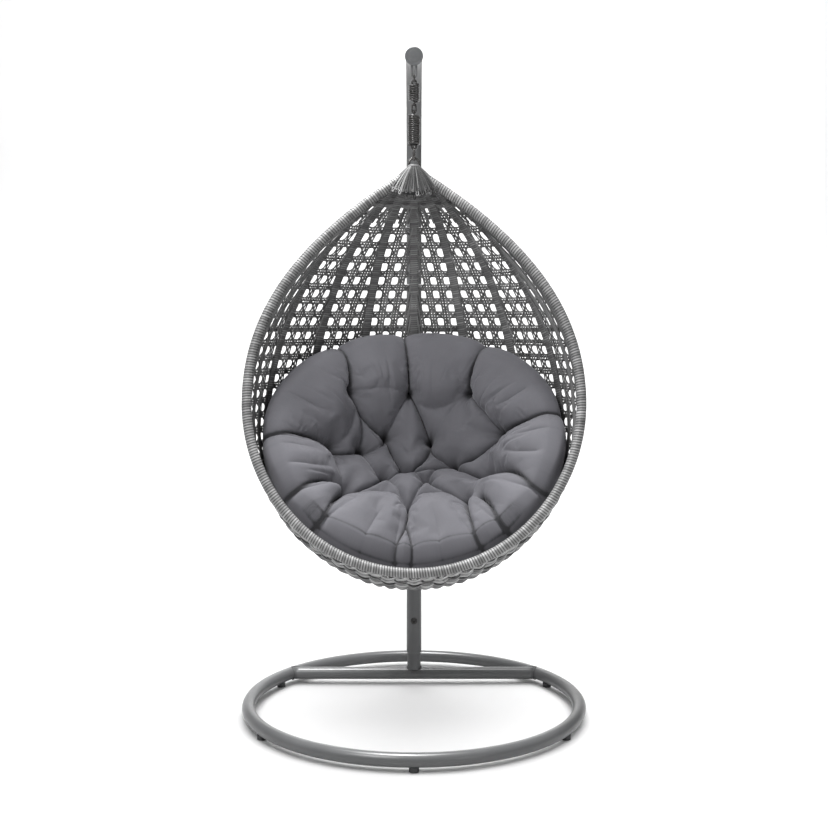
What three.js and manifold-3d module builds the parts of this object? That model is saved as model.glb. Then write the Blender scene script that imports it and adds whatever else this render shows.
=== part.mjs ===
// A hanging pod chair: a teardrop basket of openwork panels on wire ribs with a round tufted cushion,
// hung by links and two coil springs from a bowed pole on a ring base.
// Millimetres, +Z up, origin on the floor at the ring's centre, the open front towards -Y.
import * as THREE from "three";
import { mergeVertices } from "three/addons/utils/BufferGeometryUtils.js";
import Module from "manifold-3d";

const wasm = await Module();
wasm.setup();

// Shares and angles that several pieces use
const FULL_TURN = 2 * Math.PI;
const HALF_TURN = Math.PI;
const QUARTER_TURN = Math.PI / 2;
const DEGREE = Math.PI / 180;
const HALF_SHARE = 0.5;

// Clearances
const CLEAR = 0.3; // between pieces that touch
const WEAVE_CLEAR = 0.5; // between a woven panel and the rib, rim or panel beside it
const BOWL_SIDE_CLEAR = 1.2; // the same under the bowl, beside a rib
const BOWL_END_CLEAR = 5; // and at the rim
const BOWL_SEAM_CLEAR = 2.5; // and at the panel above
const OVERRUN = 5; // how far a cutting tool runs past what it cuts
const MERGE_DISTANCE = 0.001;

// Base ring, its feet and the cross bar
const RING_OUTER_RADIUS = 500;
const RING_TUBE_RADIUS = 19;
const RING_SPIGOT_RADIUS = 16;
const RING_SPIGOT_LENGTH = 60;
const RING_STEPS = 20;
const RING_SPIGOT_STEPS = 4;
const RING_SIDES = 12;
const FOOT_COUNT = 6;
const FOOT_RADIUS = 13;
const FOOT_EDGE = 2;
const FOOT_HEIGHT = 12;
const FOOT_SEGMENTS = 13;
const FOOT_CUP = 5; // how far the foot's rim comes up round the tube
const BAR_SETBACK = 285;
const BAR_TUBE_RADIUS = 19;
const BAR_END_CUT = 3; // its blank stops this far short of the ring's middle line, inside the ring's tube

// Pole: a long shallow bow, then a tight arch forward over the hanging line
const STUB_RADIUS = 21;
const STUB_LENGTH = 220; // from the bar's axis
const POLE_RADIUS = 24;
const POLE_LIFT = 66; // from the bar's axis to the lower end of the pole tube
const POLE_SETBACK = 380;
const POLE_JOINT = 770; // from the bar's axis, along the pole
const POLE_SPIGOT_LENGTH = 80;
const POLE_SIDES = 16;
const BOW_STEP = 100; // the longest straight stretch of the pole's bow
const ARCH_STEP = 29; // and of its arch
const ARCH_SPRING_HEIGHT = 1604;
const ARCH_REACH = 20; // how far the pole's end stands in front of the hanging line
const ARCH_ANGLE = 110 * DEGREE;
const SCREW_RADIUS = 4;
const SCREW_LENGTH = 28;
const SCREW_HEAD_RADIUS = 8;
const SCREW_HEAD_HEIGHT = 4;
const SCREW_EDGE = 1.5;
const LOWER_SCREW_PLACE = 167; // from the bar's axis, along the pole
const CAP_RADIUS = 26;
const CAP_THICKNESS = 5;
const CAP_EDGE = 1.5;
const CAP_PLUG_RADIUS = 20;
const CAP_PLUG_LENGTH = 16;

// Hanging hardware, from the top down: spans are between the middles of rods
const EYE_ROD_RADIUS = 3;
const EYE_HALF_WIDTH = 6.5;
const EYE_DROP = 61.6; // from the pole's middle down to the eye's
const LINK_ROD_RADIUS = 2.8;
const TOP_LINK_HALF_WIDTH = 9;
const TOP_LINK_SPAN = 19.2;
const MIDDLE_ROD_RADIUS = 2.5;
const MIDDLE_LINK_HALF_WIDTH = 5.5;
const MIDDLE_LINK_SPAN = 23.8;
const HOOK_ROD_RADIUS = 3;
const HOOK_HALF_WIDTH = 10.5;
const HOOK_SPAN = 38.3;
const SLEEVE_RADIUS = 4.8;
const SLEEVE_LENGTH = 15;
const SLEEVE_SIDES = 6;
const CURL_STEPS = 8;
const GAP_SAMPLES = 6; // per step along a spring's wire, where its gaps are measured
const WIRE_SIDES = 5;
const SPRING_HOOK_RADIUS = 6.4;
const SPRING_HOOK_LIFT = 6.6; // from the last curl to the middle of the hook's loop
const SPRING_HOOK_OPENING = 55 * DEGREE; // half of the loop's gap
const UPPER_SPRING = { curlRadius: 13.5, wireRadius: 2.5, length: 46, turns: 7.25, topHookAngle: 0 };
const LOWER_SPRING = {
  curlRadius: 15.4,
  wireRadius: 2.6,
  length: 81.8,
  turns: 14.25,
  topHookAngle: QUARTER_TURN,
};
const POD_EYE_ROD_RADIUS = 4;
const POD_EYE_HALF_WIDTH = 14;
const POD_EYE_RISE = 35.5; // from the rim's apex to the top of the eye

// Pod: the rim's centre line is a circle below its widest point and a pointed curve above it
const RIM_TUBE_RADIUS = 13;
const RIM_RADIUS = 463;
const RIM_RISE = 643; // from the widest point to the apex
const RIM_SLOPE_SHARE = 0.22; // how far the rim leans forward for each unit it goes down
const RIM_SIDE_HANDLE_SHARE = 0.3826;
const RIM_APEX_HANDLE_SHARE = 0.5785;
const RIM_APEX_ANGLE = 58.1 * DEGREE; // half of the point's angle
const RIM_STEPS = 26; // on each side
const RIM_SIDES = 8;
const POD_DEPTH = 380; // from the rim's plane to the back, along Y
const POD_DROP = 279; // how much lower the deepest point of the back lies
const RIB_RADIUS = 5;
const RIB_SIDES = 6;
const RIB_UPPER_STEPS = 8;
const RIB_LOWER_STEPS = 10;
const OUTER_RIB = 3; // ribs are numbered from minus this to plus this, the middle one is 0
const RIM_INDEX = OUTER_RIB + 1;
const RIB_SPACING = QUARTER_TURN / RIM_INDEX;
const HOOP_RADIUS = 4;
const HOOP_SIDES = 6;
const HOOP_CLEAR = 1.2; // between the hoops and the ribs that they cross
const DEEPEST_DOWN = 1.6; // level lines are looked for down to here
const HOOP_STEP = 60; // the longest straight stretch of a hoop
const SECTION_STEPS = 90;
const UPPER_HOOP_SHARE = 0.2955; // of the rise from the widest point to the apex
const MIDDLE_HOOP_SHARE = -0.27; // of the rim's radius, below the widest point
const LOWER_HOOP_SHARE = -0.788;
const HUB_RADIUS = 36;
const HUB_NECK_RADIUS = 20;
const HUB_TOP_RISE = 15; // these are above or below the rim's apex
const HUB_NECK_RISE = 6;
const HUB_WALL_TOP_RISE = -8;
const HUB_WALL_BOTTOM_RISE = -46;
const HUB_DISH_RISE = -20;
const HUB_SEGMENTS = 24;

// Woven panels
const PANEL_THICKNESS = 5;
const PANEL_TOP_DROP = 52; // from the apex
const SIDE_PANEL_TIP_SHARE = 0.09;
const TWO_HOLE_SHARES = [0, 0.15, 0.44, 0.56, 0.85, 1];
const ONE_HOLE_SHARES = [0, 0.13, 0.87, 1];
const UPPER_ROW_SHARES = [0, 0.07, 0.36, 0.43, 0.66, 0.73, 0.95, 1];
const MIDDLE_ROW_SHARES = [0, 0.05, 0.3, 0.37, 0.63, 0.7, 0.95, 1];
const LOWER_ROW_SHARES = [0, 0.06, 0.18, 0.26, 0.38, 0.46, 0.58, 0.66, 0.78, 0.85, 0.94, 1];
const SIDE_ROW_SHARES = [0, 0.08, 0.44, 0.56, 0.92, 1];

// Cushion: a round pad that sags into the bowl, with tufts and with creases from the outer ones to its edge
const FACET_SAG_SHARE = 0.012095; // of the rim's radius: room for the facets of the weave and of the cushion
// from the middle of the weave to the cushion's underside
const CUSHION_CLEAR = PANEL_THICKNESS * HALF_SHARE + CLEAR + FACET_SAG_SHARE * RIM_RADIUS;
const CUSHION_MIDDLE_ANGLE = 107 * DEGREE; // where on the shell its middle lies, from the apex down and round
const CUSHION_REACH = 62.5 * DEGREE; // how far it reaches up the back and down the front, on average
const CUSHION_SIDE_REACH = 15.5 * DEGREE; // how much further it reaches to the sides
const CUSHION_LOWER_REACH = 4.5 * DEGREE; // how much further it reaches down than the average, and less up
const CUSHION_FOCUS_SHARE = 0.025; // how far the point that its thickness aims at is off the rim's middle
const CUSHION_CHART_SHARE = 1.123; // its outline's radius on the flat, over the rim's radius
const CUSHION_THICKNESS = 138;
const CUSHION_CROWN = 32; // the outer lobes stand this much higher
const CUSHION_FILLING = 135; // how much thicker its middle is where it spans the bowl's deepest place
const CROWN_PLACE_SHARE = 0.84;
const CROWN_WIDTH_SHARE = 0.2;
const EDGE_SQUARENESS = 5;
const EDGE_THICKNESS_SHARE = 0.12;
const OUTER_TUFTS = 9;
const INNER_TUFTS = 6;
const OUTER_TUFT_SHARE = 0.64;
const INNER_TUFT_SHARE = 0.35;
const OUTER_TUFT_TURN = 7.4 * DEGREE; // how far each ring of tufts lies turned
const INNER_TUFT_TURN = 24.7 * DEGREE;
const TUFT_DEPTH = 56;
const TUFT_SPREAD = 48;
const CREASE_DEPTH = 44;
const CREASE_SPREAD = 26;
const EDGE_NOTCH_SHARE = 0.035; // how far a crease draws the edge in
const CUSHION_SECTORS = 54;
const CUSHION_TOP_SHARES = [0.12, 0.24, 0.35, 0.45, 0.55, 0.64, 0.72, 0.8, 0.87, 0.93, 0.975];
const CUSHION_BOTTOM_SHARES = [0.97, 0.88, 0.66, 0.36];

const FINISHES = {
  frame: { color: 0x5a5c5f, roughness: 0.5, metalness: 0.3 },
  rubber: { color: 0x2a2b2c, roughness: 0.9, metalness: 0 },
  plastic: { color: 0x505356, roughness: 0.6, metalness: 0 },
  steel: { color: 0x8c8c86, roughness: 0.35, metalness: 0.9 },
  springSteel: { color: 0x3a3b35, roughness: 0.45, metalness: 0.7 },
  wrap: { color: 0x7b7c7c, roughness: 0.7, metalness: 0 },
  weave: { color: 0x5d5e5f, roughness: 0.75, metalness: 0 },
  fabric: { color: 0x6b6b70, roughness: 0.95, metalness: 0 },
};

// Derived places of the stand
const RING_RADIUS = RING_OUTER_RADIUS - RING_TUBE_RADIUS;
const RING_HEIGHT = FOOT_HEIGHT + RING_TUBE_RADIUS;
const BAR_HALF_LENGTH = Math.sqrt(RING_RADIUS ** 2 - BAR_SETBACK ** 2);
const BOW_RISE = ARCH_SPRING_HEIGHT - RING_HEIGHT;
const BOW_RUN = POLE_SETBACK - BAR_SETBACK;
const BOW_RADIUS = (BOW_RISE ** 2 + BOW_RUN ** 2) / (2 * BOW_RUN);
const BOW_LENGTH = BOW_RADIUS * Math.asin(BOW_RISE / BOW_RADIUS);
const ARCH_RADIUS = (POLE_SETBACK + ARCH_REACH) / (1 - Math.cos(ARCH_ANGLE));
const POLE_LENGTH = BOW_LENGTH + ARCH_RADIUS * ARCH_ANGLE;
const HANG_ANGLE = Math.acos(1 - POLE_SETBACK / ARCH_RADIUS);
const HANG_HEIGHT = ARCH_SPRING_HEIGHT + ARCH_RADIUS * Math.sin(HANG_ANGLE);

// Derived heights of the hanging hardware and the pod
const HOOK_DROP = SPRING_HOOK_LIFT + SPRING_HOOK_RADIUS;
const EYE_BOTTOM = HANG_HEIGHT - EYE_DROP;
const TOP_LINK_TOP = EYE_BOTTOM + EYE_ROD_RADIUS + CLEAR + LINK_ROD_RADIUS;
const TOP_LINK_BOTTOM = TOP_LINK_TOP - TOP_LINK_SPAN;
const UPPER_SPRING_TOP = TOP_LINK_BOTTOM + LINK_ROD_RADIUS + CLEAR + UPPER_SPRING.wireRadius - HOOK_DROP;
const UPPER_SPRING_BOTTOM = UPPER_SPRING_TOP - UPPER_SPRING.length;
const MIDDLE_LINK_TOP = UPPER_SPRING_BOTTOM - HOOK_DROP + UPPER_SPRING.wireRadius + CLEAR + MIDDLE_ROD_RADIUS;
const MIDDLE_LINK_BOTTOM = MIDDLE_LINK_TOP - MIDDLE_LINK_SPAN;
const LOWER_SPRING_TOP = MIDDLE_LINK_BOTTOM + MIDDLE_ROD_RADIUS + CLEAR + LOWER_SPRING.wireRadius - HOOK_DROP;
const LOWER_SPRING_BOTTOM = LOWER_SPRING_TOP - LOWER_SPRING.length;
const HOOK_TOP = LOWER_SPRING_BOTTOM - HOOK_DROP + LOWER_SPRING.wireRadius + CLEAR + HOOK_ROD_RADIUS;
const HOOK_BOTTOM = HOOK_TOP - HOOK_SPAN;
const POD_EYE_TOP = HOOK_BOTTOM + HOOK_ROD_RADIUS + CLEAR + POD_EYE_ROD_RADIUS;
const APEX_HEIGHT = POD_EYE_TOP - POD_EYE_RISE;
const RIM_MIDDLE_HEIGHT = APEX_HEIGHT - RIM_RISE;
const RIM_MIDDLE_SETBACK = -RIM_SLOPE_SHARE * RIM_RISE;
const HUB_TOP = APEX_HEIGHT + HUB_TOP_RISE;
const HUB_NECK_HEIGHT = APEX_HEIGHT + HUB_NECK_RISE;
const HUB_WALL_TOP = APEX_HEIGHT + HUB_WALL_TOP_RISE;
const HUB_WALL_BOTTOM = APEX_HEIGHT + HUB_WALL_BOTTOM_RISE;
const HUB_DISH_HEIGHT = APEX_HEIGHT + HUB_DISH_RISE;
const PANEL_TOP = APEX_HEIGHT - PANEL_TOP_DROP;
const HOOP_HEIGHTS = {
  upper: RIM_MIDDLE_HEIGHT + UPPER_HOOP_SHARE * RIM_RISE,
  middle: RIM_MIDDLE_HEIGHT + MIDDLE_HOOP_SHARE * RIM_RADIUS,
  lower: RIM_MIDDLE_HEIGHT + LOWER_HOOP_SHARE * RIM_RADIUS,
};
const PANEL_SPLIT = HOOP_HEIGHTS.upper;

// Mesh and solid helpers
function toSolid(geometry) {
  const bare = geometry.index ? geometry.toNonIndexed() : geometry.clone();
  bare.deleteAttribute("normal");
  bare.deleteAttribute("uv");
  const merged = mergeVertices(bare, MERGE_DISTANCE);
  const mesh = new wasm.Mesh({
    numProp: 3,
    vertProperties: merged.attributes.position.array,
    triVerts: new Uint32Array(merged.index.array),
  });
  return new wasm.Manifold(mesh);
}

function toGeometry(solid) {
  const mesh = solid.getMesh();
  const geometry = new THREE.BufferGeometry();
  geometry.setAttribute("position", new THREE.BufferAttribute(mesh.vertProperties, 3));
  geometry.setIndex(new THREE.BufferAttribute(mesh.triVerts, 1));
  geometry.computeVertexNormals();
  return geometry;
}

function geometryFrom(points, triangles) {
  const geometry = new THREE.BufferGeometry();
  geometry.setFromPoints(points);
  geometry.setIndex(triangles);
  geometry.computeVertexNormals();
  return geometry;
}

const root = new THREE.Group();

function addPiece(name, geometry, finish) {
  const mesh = new THREE.Mesh(geometry, new THREE.MeshStandardMaterial(FINISHES[finish]));
  mesh.name = name;
  root.add(mesh);
  return mesh;
}

// A path with one tube ring exactly at each of its points.
class RingPath extends THREE.Curve {
  constructor(points, endsCurve) {
    super();
    this.points = points;
    this.endsCurve = endsCurve; // the path bends right up to its ends, else they run straight
  }
  getPoint(t) {
    const last = this.points.length - 1;
    const index = Math.min(Math.floor(t * last), last - 1);
    return this.points[index].clone().lerp(this.points[index + 1], t * last - index);
  }
  getPointAt(t) {
    return this.getPoint(t);
  }
  chord(from, to) {
    return this.points[to].clone().sub(this.points[from]).normalize();
  }
  getTangentAt(t) {
    const last = this.points.length - 1;
    const index = Math.round(t * last);
    if (index > 0 && index < last) return this.chord(index - 1, index + 1);
    const [end, next, afterNext] = index === 0 ? [0, 1, 2] : [last, last - 1, last - 2];
    const along = this.chord(Math.min(end, next), Math.max(end, next));
    if (!this.endsCurve || last < 2) return along;
    const inner = this.chord(Math.min(end, afterNext), Math.max(end, afterNext));
    return along.multiplyScalar(2 * along.dot(inner)).sub(inner);
  }
}

function polygon(radius, sides) {
  const corners = [];
  for (let i = 0; i < sides; i++) {
    const angle = (i / sides) * FULL_TURN;
    corners.push(new THREE.Vector2(radius * Math.cos(angle), radius * Math.sin(angle)));
  }
  return new THREE.Shape(corners);
}

function tubeThrough(points, radius, sides, endsCurve = false) {
  return new THREE.ExtrudeGeometry(polygon(radius, sides), {
    steps: points.length - 1,
    extrudePath: new RingPath(points, endsCurve),
    bevelEnabled: false,
  });
}

function samples(count, pointAt) {
  const points = [];
  for (let i = 0; i <= count; i++) points.push(pointAt(i / count));
  return points;
}

// A closed loop of rod in the plane of two unit vectors.
function loopThrough(points, normal, radius, sides) {
  const vertices = [];
  const triangles = [];
  const count = points.length;
  points.forEach((point, i) => {
    const before = points[(i + count - 1) % count];
    const after = points[(i + 1) % count];
    const along = after.clone().sub(before).normalize();
    const outward = along.clone().cross(normal);
    for (let j = 0; j < sides; j++) {
      const angle = (j / sides) * FULL_TURN;
      const vertex = point.clone();
      vertex.addScaledVector(outward, radius * Math.cos(angle));
      vertex.addScaledVector(normal, radius * Math.sin(angle));
      vertices.push(vertex);
    }
  });
  for (let i = 0; i < count; i++) {
    for (let j = 0; j < sides; j++) {
      const a = i * sides + j;
      const b = i * sides + ((j + 1) % sides);
      const c = ((i + 1) % count) * sides + j;
      const d = ((i + 1) % count) * sides + ((j + 1) % sides);
      triangles.push(a, c, b, b, c, d);
    }
  }
  return geometryFrom(vertices, triangles);
}

function revolved(profile, segments) {
  const points = profile.map(([radius, height]) => new THREE.Vector2(radius, height));
  return new THREE.LatheGeometry(points, segments);
}

// Turns a shape made round the Y axis so that its axis points along a direction, and places it.
function aimed(geometry, direction, place) {
  const turn = new THREE.Quaternion().setFromUnitVectors(new THREE.Vector3(0, 1, 0), direction);
  return geometry.applyQuaternion(turn).translate(place.x, place.y, place.z);
}

const UP = new THREE.Vector3(0, 0, 1);
const SIDEWAYS = new THREE.Vector3(1, 0, 0);
const BACKWARD = new THREE.Vector3(0, 1, 0);

// Base ring
function ringArc(tubeRadius, from, to, steps) {
  const line = samples(steps, (t) => {
    const angle = from + (to - from) * t;
    return new THREE.Vector3(RING_RADIUS * Math.cos(angle), RING_RADIUS * Math.sin(angle), RING_HEIGHT);
  });
  return toSolid(tubeThrough(line, tubeRadius, RING_SIDES, true));
}

const ringTool = ringArc(RING_TUBE_RADIUS + CLEAR, 0, HALF_TURN, RING_STEPS).add(
  ringArc(RING_TUBE_RADIUS + CLEAR, HALF_TURN, FULL_TURN, RING_STEPS),
);

function makeRing() {
  const gapAngle = CLEAR / RING_RADIUS;
  const spigotAngle = RING_SPIGOT_LENGTH / RING_RADIUS;
  const socketAngle = spigotAngle + gapAngle;
  let rear = ringArc(RING_TUBE_RADIUS, 0, HALF_TURN, RING_STEPS);
  let front = ringArc(RING_TUBE_RADIUS, HALF_TURN + gapAngle, FULL_TURN - gapAngle, RING_STEPS);
  for (const joint of [0, HALF_TURN]) {
    const spigot = [joint - spigotAngle, joint + spigotAngle, RING_SPIGOT_STEPS];
    const socket = [joint - socketAngle, joint + socketAngle, RING_SPIGOT_STEPS];
    rear = rear.add(ringArc(RING_SPIGOT_RADIUS, ...spigot));
    front = front.subtract(ringArc(RING_SPIGOT_RADIUS + CLEAR, ...socket));
  }
  addPiece("base_ring_rear", toGeometry(rear), "frame");
  addPiece("base_ring_front", toGeometry(front), "frame");
}

function barTube(radius) {
  const length = 2 * (BAR_HALF_LENGTH - BAR_END_CUT);
  const blank = new THREE.CylinderGeometry(radius, radius, length, POLE_SIDES);
  return toSolid(aimed(blank, SIDEWAYS, new THREE.Vector3(0, BAR_SETBACK, RING_HEIGHT)));
}

function makeFeet() {
  const tool = ringTool.add(barTube(BAR_TUBE_RADIUS + CLEAR));
  const rimHeight = FOOT_HEIGHT + FOOT_CUP;
  const profile = [
    [0, 0],
    [FOOT_RADIUS - FOOT_EDGE, 0],
    [FOOT_RADIUS, FOOT_EDGE],
    [FOOT_RADIUS, rimHeight],
    [0, rimHeight],
  ];
  for (let i = 0; i < FOOT_COUNT; i++) {
    const angle = -QUARTER_TURN + (i / FOOT_COUNT) * FULL_TURN;
    const place = new THREE.Vector3(RING_RADIUS * Math.cos(angle), RING_RADIUS * Math.sin(angle), 0);
    const blank = aimed(revolved(profile, FOOT_SEGMENTS), UP, place);
    addPiece("foot_" + (i + 1), toGeometry(toSolid(blank).subtract(tool)), "rubber");
  }
}

function makeCrossBar() {
  addPiece("cross_bar", toGeometry(barTube(BAR_TUBE_RADIUS).subtract(ringTool)), "frame");
}

// Pole
function polePoint(along) {
  if (along < BOW_LENGTH) {
    const angle = (BOW_LENGTH - along) / BOW_RADIUS;
    return new THREE.Vector3(
      0,
      POLE_SETBACK - BOW_RADIUS * (1 - Math.cos(angle)),
      ARCH_SPRING_HEIGHT - BOW_RADIUS * Math.sin(angle),
    );
  }
  const angle = (along - BOW_LENGTH) / ARCH_RADIUS;
  return new THREE.Vector3(
    0,
    POLE_SETBACK - ARCH_RADIUS * (1 - Math.cos(angle)),
    ARCH_SPRING_HEIGHT + ARCH_RADIUS * Math.sin(angle),
  );
}

function poleDirection(along) {
  return polePoint(along + OVERRUN).sub(polePoint(along)).normalize();
}

// Rings close together where the pole bends tightly, and far apart where it hardly bends.
function poleTube(radius, from, to) {
  const bend = Math.min(to, BOW_LENGTH);
  const bowSteps = Math.ceil((bend - from) / BOW_STEP);
  const archSteps = Math.ceil((to - bend) / ARCH_STEP);
  const line = [
    ...samples(bowSteps, (t) => polePoint(from + (bend - from) * t)),
    ...samples(archSteps, (t) => polePoint(bend + (to - bend) * t)).slice(1),
  ];
  return toSolid(tubeThrough(line, radius, POLE_SIDES, true));
}

function screwProfile(shankRadius, slack) {
  return [
    [0, -SCREW_LENGTH - slack],
    [shankRadius, -SCREW_LENGTH - slack],
    [shankRadius, 0],
    [SCREW_HEAD_RADIUS, 0],
    [SCREW_HEAD_RADIUS, SCREW_HEAD_HEIGHT - SCREW_EDGE],
    [SCREW_HEAD_RADIUS - SCREW_EDGE, SCREW_HEAD_HEIGHT],
    [0, SCREW_HEAD_HEIGHT],
  ];
}

// A screw through the front wall of the pole, and the tool that cuts its hole.
function screwAt(along, shankRadius, slack) {
  const direction = poleDirection(along);
  const forward = new THREE.Vector3(0, -direction.z, direction.y);
  const seat = polePoint(along).addScaledVector(forward, POLE_RADIUS + CLEAR);
  return aimed(revolved(screwProfile(shankRadius, slack), POLE_SIDES), forward, seat);
}

function makePole() {
  const socketRadius = STUB_RADIUS + CLEAR;
  const upperScrewPlace = POLE_JOINT - POLE_SPIGOT_LENGTH * HALF_SHARE;
  const screwTools = [LOWER_SCREW_PLACE, upperScrewPlace].map((place) =>
    toSolid(screwAt(place, SCREW_RADIUS + CLEAR, CLEAR)),
  );
  const barTool = toSolid(
    aimed(
      new THREE.CylinderGeometry(
        BAR_TUBE_RADIUS + CLEAR,
        BAR_TUBE_RADIUS + CLEAR,
        2 * (STUB_RADIUS + OVERRUN),
        POLE_SIDES,
      ),
      SIDEWAYS,
      new THREE.Vector3(0, BAR_SETBACK, RING_HEIGHT),
    ),
  );
  const stub = poleTube(STUB_RADIUS, 0, STUB_LENGTH).subtract(barTool).subtract(screwTools[0]);
  const lower = poleTube(POLE_RADIUS, POLE_LIFT, POLE_JOINT)
    .subtract(poleTube(socketRadius, 0, STUB_LENGTH + CLEAR))
    .subtract(poleTube(socketRadius, POLE_JOINT - POLE_SPIGOT_LENGTH - CLEAR, POLE_JOINT + OVERRUN))
    .subtract(screwTools[0])
    .subtract(screwTools[1]);
  const plugTool = toSolid(
    aimed(
      new THREE.CylinderGeometry(
        CAP_PLUG_RADIUS + CLEAR,
        CAP_PLUG_RADIUS + CLEAR,
        2 * (CAP_PLUG_LENGTH + CLEAR),
        HUB_SEGMENTS,
      ),
      poleDirection(POLE_LENGTH),
      polePoint(POLE_LENGTH),
    ),
  );
  const upper = poleTube(POLE_RADIUS, POLE_JOINT + CLEAR, POLE_LENGTH)
    .add(poleTube(STUB_RADIUS, POLE_JOINT - POLE_SPIGOT_LENGTH, POLE_JOINT + OVERRUN))
    .subtract(plugTool)
    .subtract(screwTools[1]);
  addPiece("pole_stub", toGeometry(stub), "frame");
  addPiece("pole_lower", toGeometry(lower), "frame");
  addPiece("pole_upper", toGeometry(upper), "frame");
  addPiece("pole_screw_lower", screwAt(LOWER_SCREW_PLACE, SCREW_RADIUS, 0), "steel");
  addPiece("pole_screw_upper", screwAt(upperScrewPlace, SCREW_RADIUS, 0), "steel");
}

function makeEndCap() {
  const profile = [
    [0, -CAP_PLUG_LENGTH],
    [CAP_PLUG_RADIUS, -CAP_PLUG_LENGTH],
    [CAP_PLUG_RADIUS, CLEAR],
    [CAP_RADIUS, CLEAR],
    [CAP_RADIUS, CAP_THICKNESS - CAP_EDGE],
    [CAP_RADIUS - CAP_EDGE, CAP_THICKNESS],
    [0, CAP_THICKNESS],
  ];
  const cap = aimed(revolved(profile, HUB_SEGMENTS), poleDirection(POLE_LENGTH), polePoint(POLE_LENGTH));
  addPiece("pole_end_cap", cap, "plastic");
}

// A rod bent into a U: two legs along Z and a round end, in the XZ plane.
function bentRod(halfWidth, roundHeight, legHeight, radius) {
  const turn = roundHeight < legHeight ? -1 : 1;
  const middle = roundHeight - turn * halfWidth;
  const round = samples(CURL_STEPS, (t) => {
    const angle = HALF_TURN * t;
    return new THREE.Vector3(halfWidth * Math.cos(angle), 0, middle + turn * halfWidth * Math.sin(angle));
  });
  const legs = [new THREE.Vector3(halfWidth, 0, legHeight), new THREE.Vector3(-halfWidth, 0, legHeight)];
  return tubeThrough([legs[0], ...round, legs[1]], radius, CURL_STEPS);
}

function makeHangerEye() {
  const poleTool = poleTube(POLE_RADIUS + CLEAR, POLE_JOINT + CLEAR, POLE_LENGTH);
  const legHeight = EYE_BOTTOM + POLE_RADIUS * 2;
  const eye = toSolid(bentRod(EYE_HALF_WIDTH, EYE_BOTTOM, legHeight, EYE_ROD_RADIUS));
  addPiece("hanger_eye", toGeometry(eye.subtract(poleTool)), "frame");
}

// Links: rods bent into long closed rings, hanging in the plane of Z and one other direction.
function linkLoop(halfWidth, top, bottom, radius, across) {
  const normal = across.clone().cross(UP);
  const points = [];
  for (const [end, turn] of [
    [top - halfWidth, 0],
    [bottom + halfWidth, HALF_TURN],
  ]) {
    for (let i = 0; i <= CURL_STEPS; i++) {
      const angle = turn + HALF_TURN * (i / CURL_STEPS);
      const point = across.clone().multiplyScalar(halfWidth * Math.cos(angle));
      points.push(point.addScaledVector(UP, end + halfWidth * Math.sin(angle)));
    }
  }
  return loopThrough(points, normal, radius, CURL_STEPS);
}

function makeLinks() {
  const topLink = linkLoop(TOP_LINK_HALF_WIDTH, TOP_LINK_TOP, TOP_LINK_BOTTOM, LINK_ROD_RADIUS, BACKWARD);
  const middleLink = linkLoop(
    MIDDLE_LINK_HALF_WIDTH,
    MIDDLE_LINK_TOP,
    MIDDLE_LINK_BOTTOM,
    MIDDLE_ROD_RADIUS,
    SIDEWAYS,
  );
  const hook = linkLoop(HOOK_HALF_WIDTH, HOOK_TOP, HOOK_BOTTOM, HOOK_ROD_RADIUS, BACKWARD);
  const sleevePlace = new THREE.Vector3(0, HOOK_HALF_WIDTH, (HOOK_TOP + HOOK_BOTTOM) * HALF_SHARE);
  const sleeve = aimed(
    new THREE.CylinderGeometry(SLEEVE_RADIUS, SLEEVE_RADIUS, SLEEVE_LENGTH, SLEEVE_SIDES),
    UP,
    sleevePlace,
  );
  addPiece("top_link", topLink, "steel");
  addPiece("middle_link", middleLink, "springSteel");
  addPiece("pod_hook", toGeometry(toSolid(hook).add(toSolid(sleeve))), "steel");
}

// Springs: one wire each, from the end of the top hook through the curls to the end of the bottom hook.
function hookLine(spring, height, angle, direction) {
  const across = new THREE.Vector3(Math.cos(angle), Math.sin(angle), 0);
  const at = (out, rise) => across.clone().multiplyScalar(out).setZ(height + direction * rise);
  const sweep = FULL_TURN - 2 * SPRING_HOOK_OPENING;
  const start = -QUARTER_TURN + SPRING_HOOK_OPENING;
  const loopAt = (turned) =>
    at(SPRING_HOOK_RADIUS * Math.cos(turned), SPRING_HOOK_LIFT + SPRING_HOOK_RADIUS * Math.sin(turned));
  const line = [at(spring.curlRadius, spring.wireRadius * HALF_SHARE)];
  for (let i = 0; i <= CURL_STEPS; i++) line.push(loopAt(start + (sweep * i) / CURL_STEPS));
  const last = line[line.length - 1];
  const ending = last.clone().sub(line[line.length - 2]).setLength(2 * spring.wireRadius);
  line.push(last.clone().add(ending));
  return line;
}

function springLine(spring, top, bottom) {
  const steps = Math.round(spring.turns * CURL_STEPS);
  const drop = (top - bottom) / steps;
  const curlAt = (i) => {
    const angle = spring.topHookAngle + (i / CURL_STEPS) * FULL_TURN;
    return new THREE.Vector3(
      spring.curlRadius * Math.cos(angle),
      spring.curlRadius * Math.sin(angle),
      top - drop * i,
    );
  };
  const bottomAngle = spring.topHookAngle + spring.turns * FULL_TURN;
  const curls = [];
  for (let i = 1; i < steps; i++) curls.push(curlAt(i));
  return [
    ...hookLine(spring, top, spring.topHookAngle, 1).reverse(),
    ...curls,
    ...hookLine(spring, bottom, bottomAngle, -1),
  ];
}

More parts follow.
